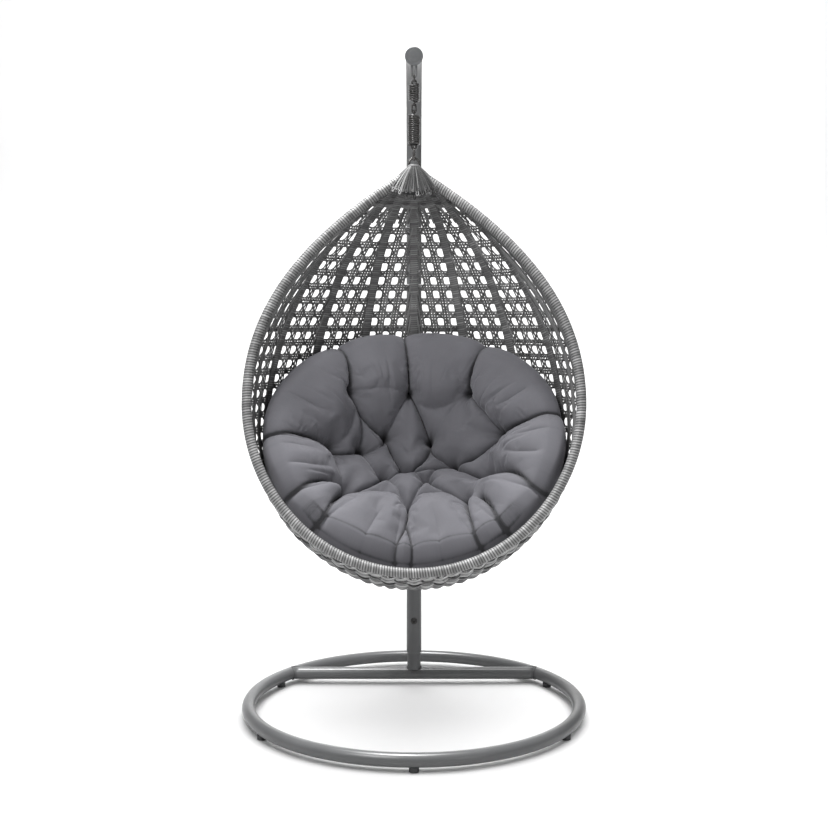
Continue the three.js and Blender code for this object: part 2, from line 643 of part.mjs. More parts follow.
// The least gap between stretches of one wire that lie more than half a curl apart along it.
function leastGap(line, wireRadius, curlRadius) {
  const dense = [];
  for (let i = 0; i + 1 < line.length; i++) {
    for (let j = 0; j < GAP_SAMPLES; j++) dense.push(line[i].clone().lerp(line[i + 1], j / GAP_SAMPLES));
  }
  let travelled = 0;
  const lengths = dense.map((point, i) => {
    if (i) travelled += point.distanceTo(dense[i - 1]);
    return travelled;
  });
  let least = Infinity;
  for (let i = 0; i < dense.length; i++) {
    for (let j = i + 1; j < dense.length; j++) {
      if (lengths[j] - lengths[i] < HALF_TURN * curlRadius * HALF_SHARE) continue;
      least = Math.min(least, dense[i].distanceTo(dense[j]));
    }
  }
  return least - 2 * wireRadius;
}

function makeSprings() {
  for (const [name, spring, top, bottom] of [
    ["upper_spring", UPPER_SPRING, UPPER_SPRING_TOP, UPPER_SPRING_BOTTOM],
    ["lower_spring", LOWER_SPRING, LOWER_SPRING_TOP, LOWER_SPRING_BOTTOM],
  ]) {
    const line = springLine(spring, top, bottom);
    const gap = leastGap(line, spring.wireRadius, spring.curlRadius);
    console.log(name + ": least gap to itself " + gap.toFixed(2) + " mm");
    addPiece(name, tubeThrough(line, spring.wireRadius, WIRE_SIDES), "springSteel");
  }
}

// Pod shell. Every place on it has an angle round from the middle of the back, and a place down from the
// apex: 0 at the apex, 1 at the rim's widest point, 2 at the rim's bottom.
function rimHalfOutline(down) {
  const side = new THREE.Vector2(RIM_RADIUS, RIM_MIDDLE_HEIGHT);
  const apex = new THREE.Vector2(0, APEX_HEIGHT);
  const fromSide = new THREE.Vector2(RIM_RADIUS, RIM_MIDDLE_HEIGHT + RIM_SIDE_HANDLE_SHARE * RIM_RISE);
  const handle = RIM_APEX_HANDLE_SHARE * RIM_RISE;
  const fromApex = new THREE.Vector2(
    handle * Math.sin(RIM_APEX_ANGLE),
    APEX_HEIGHT - handle * Math.cos(RIM_APEX_ANGLE),
  );
  return new THREE.CubicBezierCurve(apex, fromApex, fromSide, side).getPoint(down);
}

// A place on the lower shell, an ellipsoid's quarter: out to the side, up the rim's plane and back from it.
function bowlPlace(out, up, back) {
  return new THREE.Vector3(
    RIM_RADIUS * out,
    RIM_MIDDLE_SETBACK + RIM_SLOPE_SHARE * RIM_RADIUS * up + POD_DEPTH * back,
    RIM_MIDDLE_HEIGHT + RIM_RADIUS * up - POD_DROP * back,
  );
}

function shellPoint(round, down) {
  const turned = down * QUARTER_TURN;
  if (down > 1) {
    const out = Math.sin(turned) * Math.sin(round);
    return bowlPlace(out, Math.cos(turned), Math.sin(turned) * Math.cos(round));
  }
  const rim = rimHalfOutline(down);
  const rimSetback = -RIM_SLOPE_SHARE * (APEX_HEIGHT - rim.y);
  const backSetback =
    RIM_MIDDLE_SETBACK * (1 - Math.cos(turned)) + POD_DEPTH * Math.sin(turned);
  const backHeight = RIM_MIDDLE_HEIGHT + RIM_RISE * Math.cos(turned) - POD_DROP * Math.sin(turned);
  return new THREE.Vector3(
    rim.x * Math.sin(round),
    rimSetback + (backSetback - rimSetback) * Math.cos(round),
    rim.y + (backHeight - rim.y) * Math.cos(round),
  );
}

function ribAngle(index) {
  return index * RIB_SPACING;
}

// A rib fans out from the apex, and below the widest place runs straight forward under the bowl.
function ribPoint(index, down) {
  if (down <= 1) return shellPoint(ribAngle(index), down);
  const out = Math.sin(ribAngle(index));
  const reach = Math.cos(ribAngle(index));
  return bowlPlace(out, reach * Math.cos(down * QUARTER_TURN), reach * Math.sin(down * QUARTER_TURN));
}

function rimPoint(side, down) {
  return shellPoint(side * QUARTER_TURN, down);
}

const HALVINGS = 30;
const NUDGE = 1e-3;

// Halves an interval until it holds the place where a falling value crosses zero.
function crossing(valueAt, from, to) {
  let low = from;
  let high = to;
  for (let i = 0; i < HALVINGS; i++) {
    const middle = (low + high) * HALF_SHARE;
    if (valueAt(middle) > 0) low = middle;
    else high = middle;
  }
  return (low + high) * HALF_SHARE;
}

// The rim's two ends stand apart inside the hub's outline, where the hub cuts them off.
const RIM_START = crossing((down) => HUB_RADIUS - RIM_TUBE_RADIUS - rimHalfOutline(down).x, 0, 1);
const rimLine = [
  ...samples(RIM_STEPS, (t) => rimPoint(-1, RIM_START + (2 - RIM_START) * t)),
  ...samples(RIM_STEPS, (t) => rimPoint(1, 2 - (2 - RIM_START) * t)).slice(1),
];
const HUB_TOOL_RADIUS = HUB_RADIUS + CLEAR;
const HUB_TOOL_LENGTH = 2 * (HUB_TOP - HUB_WALL_BOTTOM);
const hubTool = toSolid(
  aimed(
    new THREE.CylinderGeometry(HUB_TOOL_RADIUS, HUB_TOOL_RADIUS, HUB_TOOL_LENGTH, HUB_SEGMENTS),
    UP,
    new THREE.Vector3(0, 0, HUB_WALL_BOTTOM),
  ),
);
const rimTool = toSolid(tubeThrough(rimLine, RIM_TUBE_RADIUS + CLEAR, RIM_SIDES));

function makeHub() {
  const profile = [
    [0, HUB_DISH_HEIGHT],
    [HUB_RADIUS - OVERRUN, HUB_WALL_BOTTOM],
    [HUB_RADIUS, HUB_WALL_BOTTOM],
    [HUB_RADIUS, HUB_WALL_TOP],
    [HUB_NECK_RADIUS, HUB_NECK_HEIGHT],
    [POD_EYE_HALF_WIDTH, HUB_TOP],
    [0, HUB_TOP],
  ];
  const blank = toSolid(aimed(revolved(profile, HUB_SEGMENTS), UP, new THREE.Vector3()));
  const eyeLine = [POD_EYE_HALF_WIDTH, POD_EYE_TOP, HUB_NECK_HEIGHT - OVERRUN];
  const eye = bentRod(...eyeLine, POD_EYE_ROD_RADIUS);
  const eyeToolLine = [POD_EYE_HALF_WIDTH, POD_EYE_TOP, HUB_NECK_HEIGHT - OVERRUN - CLEAR];
  const eyeTool = toSolid(bentRod(...eyeToolLine, POD_EYE_ROD_RADIUS + CLEAR));
  addPiece("apex_hub", toGeometry(blank.subtract(eyeTool)), "frame");
  addPiece("pod_eye", eye, "steel");
}

function makeRim() {
  const rim = toSolid(tubeThrough(rimLine, RIM_TUBE_RADIUS, RIM_SIDES)).subtract(hubTool);
  addPiece("pod_rim", toGeometry(rim), "wrap");
}

function makeRibs() {
  for (let index = -OUTER_RIB; index <= OUTER_RIB; index++) {
    const line = [
      ...samples(RIB_UPPER_STEPS, (t) => ribPoint(index, t)),
      ...samples(RIB_LOWER_STEPS, (t) => ribPoint(index, 1 + t)).slice(1),
    ];
    const rib = toSolid(tubeThrough(line, RIB_RADIUS, RIB_SIDES)).subtract(hubTool).subtract(rimTool);
    addPiece("rib_" + (index + OUTER_RIB + 1), toGeometry(rib), "wrap");
  }
}

function outwardNormal(pointAt, u, v) {
  const across = pointAt(u + NUDGE, v).sub(pointAt(u - NUDGE, v));
  const downward = pointAt(u, v + NUDGE).sub(pointAt(u, v - NUDGE));
  return across.cross(downward).normalize();
}

// How far down the shell comes to a height, at one angle round it.
function downAtHeight(round, height) {
  return crossing((down) => shellPoint(round, down).z - height, 0, DEEPEST_DOWN);
}

function makeHoops() {
  for (const [name, height] of Object.entries(HOOP_HEIGHTS)) {
    const outAt = (round) => {
      const down = downAtHeight(round, height);
      return Math.sin(round) * (down > 1 ? Math.sin(down * QUARTER_TURN) : 1);
    };
    const stops = [-QUARTER_TURN];
    for (let i = 0; i < SECTION_STEPS; i++) {
      const from = -QUARTER_TURN + (HALF_TURN * i) / SECTION_STEPS;
      const to = from + HALF_TURN / SECTION_STEPS;
      for (let index = -OUTER_RIB; index <= OUTER_RIB; index++) {
        const target = Math.sin(ribAngle(index));
        const rising = Math.sign(outAt(from) - target);
        if (rising * (outAt(to) - target) >= 0) continue;
        stops.push(crossing((round) => rising * (outAt(round) - target), from, to));
      }
    }
    stops.push(QUARTER_TURN);
    const placeAt = (round) => {
      const down = downAtHeight(round, height);
      const normal = outwardNormal(shellPoint, round, down);
      return shellPoint(round, down).addScaledVector(normal, RIB_RADIUS + HOOP_CLEAR + HOOP_RADIUS);
    };
    const line = [];
    for (let i = 0; i + 1 < stops.length; i++) {
      const steps = Math.ceil(placeAt(stops[i]).distanceTo(placeAt(stops[i + 1])) / HOOP_STEP);
      line.push(...samples(steps, (t) => placeAt(stops[i] + (stops[i + 1] - stops[i]) * t)).slice(0, -1));
    }
    line.push(placeAt(QUARTER_TURN));
    const hoop = toSolid(tubeThrough(line, HOOP_RADIUS, HOOP_SIDES)).subtract(rimTool);
    addPiece("hoop_" + name, toGeometry(hoop), "wrap");
  }
}

// A curved sheet with a grid of holes: every second column of every second row is open.
function latticePanel(pointAt, columnShares, rowShares) {
  const columns = columnShares.length;
  const points = [];
  for (const v of rowShares) {
    for (const u of columnShares) {
      const normal = outwardNormal(pointAt, u, v);
      const point = pointAt(u, v);
      points.push(point.clone().addScaledVector(normal, PANEL_THICKNESS * HALF_SHARE));
      points.push(point.clone().addScaledVector(normal, -PANEL_THICKNESS * HALF_SHARE));
    }
  }
  const isSolid = (column, row) => {
    if (column < 0 || row < 0 || column >= columns - 1 || row >= rowShares.length - 1) return false;
    return column % 2 === 0 || row % 2 === 0;
  };
  const outer = (column, row) => 2 * (row * columns + column);
  const triangles = [];
  const addQuad = (a, b, c, d) => triangles.push(a, b, c, a, c, d);
  for (let row = 0; row < rowShares.length - 1; row++) {
    for (let column = 0; column < columns - 1; column++) {
      if (!isSolid(column, row)) continue;
      const corners = [
        outer(column, row),
        outer(column + 1, row),
        outer(column + 1, row + 1),
        outer(column, row + 1),
      ];
      addQuad(...corners);
      addQuad(...corners.map((corner) => corner + 1).reverse());
      const neighbours = [
        [column, row - 1],
        [column + 1, row],
        [column, row + 1],
        [column - 1, row],
      ];
      neighbours.forEach((neighbour, side) => {
        if (isSolid(...neighbour)) return;
        const from = corners[side];
        const to = corners[(side + 1) % 4];
        addQuad(to, from, from + 1, to + 1);
      });
    }
  }
  return geometryFrom(points, triangles);
}

function rimDistance(point) {
  let least = Infinity;
  for (let i = 0; i + 1 < rimLine.length; i++) {
    const stretch = new THREE.Line3(rimLine[i], rimLine[i + 1]);
    const nearest = stretch.closestPointToPoint(point, true, new THREE.Vector3());
    least = Math.min(least, nearest.distanceTo(point));
  }
  return least;
}

const RIM_MARGIN = RIM_TUBE_RADIUS + WEAVE_CLEAR;
const RIB_MARGIN = RIB_RADIUS + WEAVE_CLEAR;
const BOWL_RIM_MARGIN = RIM_TUBE_RADIUS + BOWL_END_CLEAR;
const BOWL_RIB_MARGIN = RIB_RADIUS + BOWL_SIDE_CLEAR;
const SEAM_GAP_SHARE = WEAVE_CLEAR / (QUARTER_TURN * POD_DEPTH);
const BOWL_SEAM_SHARE = BOWL_SEAM_CLEAR / (QUARTER_TURN * POD_DEPTH);

// How far round the shell a gap of the rib's margin reaches at one place.
function ribMarginAngle(round, down, margin) {
  const span = shellPoint(round + NUDGE, down).distanceTo(shellPoint(round - NUDGE, down));
  return (margin * 2 * NUDGE) / span;
}

// The angle of a panel's side, beside the rib or the rim of the given index; inward is 1 or -1.
function panelSide(index, inward, downAt) {
  const round = ribAngle(index);
  if (Math.abs(index) < RIM_INDEX) return round + inward * ribMarginAngle(round, downAt(round), RIB_MARGIN);
  const tooNearAt = (turned) => {
    const place = round + inward * turned;
    return RIM_MARGIN - rimDistance(shellPoint(place, downAt(place)));
  };
  return round + inward * crossing(tooNearAt, 0, RIB_SPACING);
}

function gorePanel(index, downFor) {
  return (u, v) => {
    const downAt = (round) => downFor(round, v);
    const left = panelSide(index, 1, downAt);
    const right = panelSide(index + 1, -1, downAt);
    const round = left + (right - left) * u;
    return shellPoint(round, downAt(round));
  };
}

function upperDown(round, v) {
  const from = downAtHeight(round, PANEL_TOP);
  return from + (downAtHeight(round, PANEL_SPLIT + WEAVE_CLEAR) - from) * v;
}

function middleDown(round, v) {
  const from = downAtHeight(round, PANEL_SPLIT);
  return from + (1 - SEAM_GAP_SHARE - from) * v;
}

// Under the widest place the panels run between ribs that go straight forward, down to the rim.
function bowlPanel(index) {
  const left = ribAngle(index) + ribMarginAngle(ribAngle(index), 1, BOWL_RIB_MARGIN);
  const right = ribAngle(index + 1) - ribMarginAngle(ribAngle(index + 1), 1, BOWL_RIB_MARGIN);
  return (u, v) => {
    const round = left + (right - left) * u;
    return bowlLine(Math.sin(round), Math.cos(round), v);
  };
}

function bowlLine(out, reach, v) {
  const at = (turned) => bowlPlace(out, reach * Math.cos(turned), reach * Math.sin(turned));
  const from = QUARTER_TURN * (1 + BOWL_SEAM_SHARE / reach);
  const to = crossing((turned) => rimDistance(at(turned)) - BOWL_RIM_MARGIN, from, HALF_TURN);
  return at(from + (to - from) * v);
}

// The small panel between the outermost rib and the rim: a sector round the rim's widest point.
function sidePanel(side) {
  const outer = ribAngle(OUTER_RIB);
  const ribReach = Math.cos(outer + ribMarginAngle(outer, 1, BOWL_RIB_MARGIN));
  return (u, v) => {
    const place = side > 0 ? u : 1 - u;
    const reach = ribReach + (SIDE_PANEL_TIP_SHARE - ribReach) * place;
    return bowlLine(side * Math.sqrt(1 - reach ** 2), reach, v);
  };
}

function makePanels() {
  for (let index = -RIM_INDEX; index < RIM_INDEX; index++) {
    const number = index + RIM_INDEX + 1;
    const isSide = index === -RIM_INDEX || index === OUTER_RIB;
    const upper = latticePanel(gorePanel(index, upperDown), TWO_HOLE_SHARES, UPPER_ROW_SHARES);
    const middle = latticePanel(gorePanel(index, middleDown), TWO_HOLE_SHARES, MIDDLE_ROW_SHARES);
    const lower = isSide
      ? latticePanel(sidePanel(Math.sign(index)), ONE_HOLE_SHARES, SIDE_ROW_SHARES)
      : latticePanel(bowlPanel(index), ONE_HOLE_SHARES, LOWER_ROW_SHARES);
    addPiece("panel_upper_" + number, upper, "weave");
    addPiece("panel_middle_" + number, middle, "weave");
    addPiece("panel_lower_" + number, lower, "weave");
  }
}

// Cushion. The shell is charted as a half ball seen from its middle, and the cushion is a round patch of it.
const FIRST_OUTER_TUFT = QUARTER_TURN + OUTER_TUFT_TURN;
const FIRST_INNER_TUFT = QUARTER_TURN + INNER_TUFT_TURN;

function cushionBase(share, round) {
  const creasePhase = Math.cos((round - FIRST_OUTER_TUFT) * OUTER_TUFTS);
  const notch = EDGE_NOTCH_SHARE * share ** 4 * Math.max(0, creasePhase) ** 4;
  const sideReach = CUSHION_SIDE_REACH * Math.cos(round) ** 2;
  const lowerReach = CUSHION_LOWER_REACH * Math.sin(round);
  const reach = (CUSHION_REACH + sideReach - lowerReach) * share * (1 - notch);
  const middle = new THREE.Vector3(0, Math.cos(CUSHION_MIDDLE_ANGLE), Math.sin(CUSHION_MIDDLE_ANGLE));
  const upward = new THREE.Vector3(0, Math.sin(CUSHION_MIDDLE_ANGLE), -Math.cos(CUSHION_MIDDLE_ANGLE));
  const place = middle.multiplyScalar(Math.cos(reach));
  place.addScaledVector(SIDEWAYS, Math.sin(reach) * Math.cos(round));
  place.addScaledVector(upward, Math.sin(reach) * Math.sin(round));
  return shellPoint(Math.atan2(place.x, place.z), Math.acos(place.y) / QUARTER_TURN);
}

function tuftPlaces() {
  const places = [new THREE.Vector2(0, 0)];
  const addRing = (count, share, first) => {
    for (let i = 0; i < count; i++) {
      const round = first + (i / count) * FULL_TURN;
      const radius = share * CUSHION_CHART_SHARE * RIM_RADIUS;
      places.push(new THREE.Vector2(radius * Math.cos(round), radius * Math.sin(round)));
    }
  };
  addRing(OUTER_TUFTS, OUTER_TUFT_SHARE, FIRST_OUTER_TUFT);
  addRing(INNER_TUFTS, INNER_TUFT_SHARE, FIRST_INNER_TUFT);
  return places;
}

const TUFTS = tuftPlaces();

function cushionHeight(share, round, sunkBy) {
  const radius = share * CUSHION_CHART_SHARE * RIM_RADIUS;
  const place = new THREE.Vector2(radius * Math.cos(round), radius * Math.sin(round));
  const crown = Math.exp(-(((share - CROWN_PLACE_SHARE) / CROWN_WIDTH_SHARE) ** 2));
  const pull = TUFTS.reduce((most, tuft) => {
    return Math.max(most, Math.exp(-((place.distanceTo(tuft) / TUFT_SPREAD) ** 2)));
  }, 0);
  const sector = FULL_TURN / OUTER_TUFTS;
  const offCrease = (((round - FIRST_OUTER_TUFT) / sector) % 1 + 3 * HALF_SHARE) % 1;
  const creaseDistance = Math.abs(offCrease - HALF_SHARE) * sector * radius;
  const outside = THREE.MathUtils.smoothstep(share, INNER_TUFT_SHARE, OUTER_TUFT_SHARE);
  const crease = outside * Math.exp(-((creaseDistance / CREASE_SPREAD) ** 2));
  const filling = CUSHION_FILLING * (sunkBy / RIM_RADIUS) ** 2 * (1 - share ** 2);
  const full = CUSHION_THICKNESS + CUSHION_CROWN * crown + filling;
  return full - Math.max(TUFT_DEPTH * pull, CREASE_DEPTH * crease);
}

function makeCushion() {
  const lead = CUSHION_FOCUS_SHARE * RIM_RADIUS;
  const focus = new THREE.Vector3(0, RIM_MIDDLE_SETBACK + lead, RIM_MIDDLE_HEIGHT + lead);
  const pointAt = (share, round, top) => {
    const base = cushionBase(share, round);
    const inward = focus.clone().sub(base).normalize();
    const height = cushionHeight(share, round, Math.max(0, RIM_MIDDLE_HEIGHT - base.z));
    const rounding = (1 - share ** EDGE_SQUARENESS) ** HALF_SHARE;
    const swell = EDGE_THICKNESS_SHARE + (1 - EDGE_THICKNESS_SHARE) * rounding;
    const halfThickness = CUSHION_THICKNESS * HALF_SHARE;
    const rise = top ? (height - halfThickness) * swell : -halfThickness * swell;
    return base.addScaledVector(inward, CUSHION_CLEAR + halfThickness + rise);
  };
  const rings = [
    ...CUSHION_BOTTOM_SHARES.map((share) => [share, false]).reverse(),
    [1, false],
    [1, true],
    ...CUSHION_TOP_SHARES.map((share) => [share, true]).reverse(),
  ];
  const points = [pointAt(0, 0, false)];
  for (const [share, top] of rings) {
    for (let i = 0; i < CUSHION_SECTORS; i++) {
      points.push(pointAt(share, FIRST_OUTER_TUFT + (i / CUSHION_SECTORS) * FULL_TURN, top));
    }
  }
  points.push(pointAt(0, 0, true));
  const triangles = [];
  for (let i = 0; i < CUSHION_SECTORS; i++) {
    const next = (i + 1) % CUSHION_SECTORS;
    triangles.push(0, 1 + next, 1 + i);
    for (let ring = 0; ring + 1 < rings.length; ring++) {
      const here = 1 + ring * CUSHION_SECTORS;
      const there = here + CUSHION_SECTORS;
      triangles.push(here + i, there + next, there + i, here + i, here + next, there + next);
    }
    const lastRing = 1 + (rings.length - 1) * CUSHION_SECTORS;
    triangles.push(lastRing + i, lastRing + next, points.length - 1);
  }
  addPiece("seat_cushion", geometryFrom(points, triangles), "fabric");
}

makeRing();
makeFeet();
makeCrossBar();
makePole();
makeEndCap();
makeHangerEye();
makeLinks();
makeSprings();
makeHub();
makeRim();
makeRibs();
makeHoops();
makePanels();
makeCushion();

export default root;
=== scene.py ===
from math import acos, asin, atan2, ceil, cos, pi, radians, sin, sqrt

import bpy
import numpy as np
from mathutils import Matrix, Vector


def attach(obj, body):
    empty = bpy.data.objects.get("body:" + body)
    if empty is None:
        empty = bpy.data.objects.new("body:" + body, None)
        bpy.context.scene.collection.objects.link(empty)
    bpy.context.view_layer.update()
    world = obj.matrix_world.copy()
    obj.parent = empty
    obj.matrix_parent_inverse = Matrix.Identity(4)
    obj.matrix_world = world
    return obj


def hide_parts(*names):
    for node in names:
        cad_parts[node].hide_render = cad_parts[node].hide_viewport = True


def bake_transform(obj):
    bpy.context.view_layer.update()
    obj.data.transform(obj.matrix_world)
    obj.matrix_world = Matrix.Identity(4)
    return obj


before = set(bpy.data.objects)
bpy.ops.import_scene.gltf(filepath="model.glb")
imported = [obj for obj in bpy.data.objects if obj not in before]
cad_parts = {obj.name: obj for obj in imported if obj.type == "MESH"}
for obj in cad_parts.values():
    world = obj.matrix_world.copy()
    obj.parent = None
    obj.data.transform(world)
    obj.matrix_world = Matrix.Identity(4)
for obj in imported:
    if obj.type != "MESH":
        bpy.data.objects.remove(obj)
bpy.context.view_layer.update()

# Metres, in the part's own frame: +Z up, the sitter faces -Y.
TURN = 2 * pi
QUARTER = pi / 2
DRAW = np.random.default_rng(1187)

# ---------------------------------------------------------------- sizes repeated from the part
CLEAR = .0003
RING_TUBE = .019
RING_RADIUS = .481
RING_HEIGHT = .031
FOOT_COUNT = 6
FOOT_RADIUS = .013
FOOT_HEIGHT = .012
FOOT_CUP = .005
BAR_SETBACK = .285
BAR_TUBE = .019
BAR_HALF = sqrt(RING_RADIUS ** 2 - BAR_SETBACK ** 2)
STUB_RADIUS = .021
POLE_RADIUS = .024
POLE_LIFT = .066
POLE_SETBACK = .380
POLE_JOINT = .770
POLE_SEAM = .0004
ARCH_SPRING = 1.604
ARCH_REACH = .020
ARCH_ANGLE = radians(110)
BOW_RISE = ARCH_SPRING - RING_HEIGHT
BOW_RUN = POLE_SETBACK - BAR_SETBACK
BOW_RADIUS = (BOW_RISE ** 2 + BOW_RUN ** 2) / (2 * BOW_RUN)
BOW_LENGTH = BOW_RADIUS * asin(BOW_RISE / BOW_RADIUS)
ARCH_RADIUS = (POLE_SETBACK + ARCH_REACH) / (1 - cos(ARCH_ANGLE))
POLE_LENGTH = BOW_LENGTH + ARCH_RADIUS * ARCH_ANGLE
SCREW_PLACES = (.167, POLE_JOINT - .040)
CAP_RADIUS = .026
CAP_THICKNESS = .005
HANG_HEIGHT = ARCH_SPRING + ARCH_RADIUS * sin(acos(1 - POLE_SETBACK / ARCH_RADIUS))
EYE_ROD = .003
EYE_HALF = .0065
EYE_BOTTOM = HANG_HEIGHT - .0616
LINK_ROD = .0028
LINK_HALF = .009
LINK_TOP = EYE_BOTTOM + EYE_ROD + CLEAR + LINK_ROD
LINK_BOTTOM = LINK_TOP - .0192
CATCH_RADIUS = .0064
CATCH_LIFT = .0066
CATCH_DROP = CATCH_RADIUS + CATCH_LIFT
CATCH_OPENING = radians(55)
UPPER_SPRING = dict(curl=.0135, wire=.0025, length=.046, turns=7.25, start=0)
LOWER_SPRING = dict(curl=.0154, wire=.0026, length=.0818, turns=14.25, start=QUARTER)
MIDDLE_ROD = .0025
MIDDLE_HALF = .0055
HOOK_ROD = .003
HOOK_HALF = .0105
UPPER_SPRING_TOP = LINK_BOTTOM + LINK_ROD + CLEAR + UPPER_SPRING["wire"] - CATCH_DROP
UPPER_SPRING_BOTTOM = UPPER_SPRING_TOP - UPPER_SPRING["length"]
MIDDLE_TOP = UPPER_SPRING_BOTTOM - CATCH_DROP + UPPER_SPRING["wire"] + CLEAR + MIDDLE_ROD
MIDDLE_BOTTOM = MIDDLE_TOP - .0238
LOWER_SPRING_TOP = MIDDLE_BOTTOM + MIDDLE_ROD + CLEAR + LOWER_SPRING["wire"] - CATCH_DROP
LOWER_SPRING_BOTTOM = LOWER_SPRING_TOP - LOWER_SPRING["length"]
HOOK_TOP = LOWER_SPRING_BOTTOM - CATCH_DROP + LOWER_SPRING["wire"] + CLEAR + HOOK_ROD
HOOK_BOTTOM = HOOK_TOP - .0383
POD_EYE_ROD = .004
POD_EYE_HALF = .014
POD_EYE_TOP = HOOK_BOTTOM + HOOK_ROD + CLEAR + POD_EYE_ROD
APEX = POD_EYE_TOP - .0355
RIM_RADIUS = .463
RIM_RISE = .643
RIM_SLOPE = .22
RIM_MIDDLE = APEX - RIM_RISE
RIM_SETBACK = -RIM_SLOPE * RIM_RISE
POD_DEPTH = .380
POD_DROP = .279
RIB_STEP = radians(22.5)
OUTER_RIB = 3
HOOP_HEIGHTS = dict(
    upper=RIM_MIDDLE + .2955 * RIM_RISE,
    middle=RIM_MIDDLE - .27 * RIM_RADIUS,
    lower=RIM_MIDDLE - .788 * RIM_RADIUS,
)

CUSHION_CLEAR = .0084
CUSHION_MIDDLE = radians(107)
CUSHION_REACH = radians(62.5)
CUSHION_SIDE_REACH = radians(17)
CUSHION_LOWER_REACH = radians(4.5)
CUSHION_CHART = 1.123 * RIM_RADIUS
CUSHION_THICKNESS = .138
CUSHION_CROWN = .048
CUSHION_LEAST = .016
CUSHION_FILLING = .135
CUSHION_FOCUS = np.array([0, RIM_SETBACK + .025 * RIM_RADIUS, RIM_MIDDLE + .025 * RIM_RADIUS])
SEAM_SHARE = .991


# ---------------------------------------------------------------- mesh building
# The bulge of a tube's end point over its radius, and how far a strand's streaks may start along it.
END_BULGE = .25
LONGEST_SHIFT = 40


def unit(v):
    return v / np.maximum(np.linalg.norm(v, axis=-1, keepdims=True), 1e-12)


def run_of(line):
    """The length along a line up to each of its points."""
    return np.concatenate([[0], np.cumsum(np.linalg.norm(np.diff(line, axis=0), axis=1))])


def taken_at(at, run, values):
    """Each column of values, at other places along the same run."""
    return np.stack([np.interp(at, run, values[:, k]) for k in range(values.shape[1])], -1)


def skin(rings, sides, closed=False):
    """The faces over rings of points that follow each other. Unless closed, two more points make the ends."""
    i, j = np.meshgrid(np.arange(rings if closed else rings - 1), np.arange(sides), indexing="ij")
    here, there, k = i * sides, (i + 1) % rings * sides, (j + 1) % sides
    quads = np.stack([here + j, here + k, there + k, there + j], -1).reshape(-1, 4)
    if closed:
        return quads, np.zeros((0, 3), int)
    j = np.arange(sides)
    k, last, tip = (j + 1) % sides, (rings - 1) * sides, rings * sides
    first_fan = np.stack([np.full(sides, tip), k, j], -1)
    last_fan = np.stack([np.full(sides, tip + 1), last + j, last + k], -1)
    return quads, np.concatenate([first_fan, last_fan])


class Pile:
    """Tubes and sheets gathered into one mesh. lie holds the length along a strand and its turn, for the materials."""

    def __init__(self):
        self.verts, self.quads, self.tris, self.tone, self.lie = [], [], [], [], []
        self.count = 0

    def add(self, verts, quads, tris, tone, lie):
        self.verts.append(verts)
        self.quads.append(quads + self.count)
        self.tris.append(tris + self.count)
        self.tone.append(np.broadcast_to(tone, len(verts)))
        self.lie.append(lie)
        self.count += len(verts)

    def tube(self, line, radius, sides=12, normal=None, closed=False, tone=.5, flat=1., shift=0.):
        """A tube along line. normal steers its section, and flat is its thickness along the normal over its width."""
        line = np.asarray(line, float)
        n = len(line)
        along = unit(np.roll(line, -1, 0) - np.roll(line, 1, 0) if closed else np.gradient(line, axis=0))
        if normal is None:
            up = np.zeros((n, 3))
            up[0] = (0, 0, 1) if abs(along[0][2]) < .9 else (0, 1, 0)
            for i in range(1, n):
                up[i] = up[i - 1] - along[i] * (up[i - 1] @ along[i])
                up[i] /= np.linalg.norm(up[i])
        else:
            up = np.broadcast_to(np.asarray(normal, float), (n, 3))
        side = unit(np.cross(along, up))
        up = np.cross(side, along)
        angle = np.arange(sides) / sides * TURN
        reach = np.broadcast_to(np.asarray(radius, float), (n,))[:, None]
        verts = (
            line[:, None]
            + side[:, None] * (reach * np.cos(angle))[..., None]
            + up[:, None] * (reach * np.sin(angle) * flat)[..., None]
        ).reshape(-1, 3)
        run = run_of(line) + shift
        lie = np.stack(np.broadcast_arrays(run[:, None], np.cos(angle)[None], np.sin(angle)[None]), -1).reshape(-1, 3)
        quads, tris = skin(n, sides, closed)
        if not closed:
            ends = [line[0] - along[0] * reach[0] * END_BULGE, line[-1] + along[-1] * reach[-1] * END_BULGE]
            verts = np.concatenate([verts, ends])
            lie = np.concatenate([lie, [[run[0], 0, 0], [run[-1], 0, 0]]])
        self.add(verts, quads, tris, tone, lie)

    def lathe(self, profile, place, axis=(0, 0, 1), segments=48):
        """A turned solid: profile holds radius and height pairs from one end of the axis to the other."""
        profile, place = np.asarray(profile, float), np.asarray(place, float)
        axis = unit(np.asarray(axis, float))
        side = unit(np.cross(axis, [1., 0, 0] if abs(axis[0]) < .9 else [0, 1., 0]))
        angle = np.arange(segments) / segments * TURN
        around = side * np.cos(angle)[:, None] + np.cross(axis, side) * np.sin(angle)[:, None]
        ring = profile[:, None, :1] * around[None] + profile[:, None, 1:] * axis + place
        ends = profile[[0, -1], 1:] * axis + place
        turned = np.tile(np.stack([np.cos(angle), np.sin(angle)], -1), (len(profile), 1))
        lie = np.concatenate([np.repeat(profile[:, 1:], segments, 0), turned], 1)
        quads, tris = skin(len(profile), segments)
        self.add(np.concatenate([ring.reshape(-1, 3), ends]), quads, tris, .5, np.concatenate([lie, np.zeros((2, 3))]))

    def thing(self, name, material):
        """The whole pile as one object."""
        verts, quads, tris = map(np.concatenate, (self.verts, self.quads, self.tris))
        ob = mesh_object(name, verts, quads, tris, material)
        put_attribute(ob.data, "tone", "FLOAT", "value", np.concatenate(self.tone))
        put_attribute(ob.data, "lie", "FLOAT_VECTOR", "vector", np.concatenate(self.lie))
        return ob

    def piece(self, name, material, body, slot, *replaces):
        settle(self.thing(name, material), body, slot, *replaces)


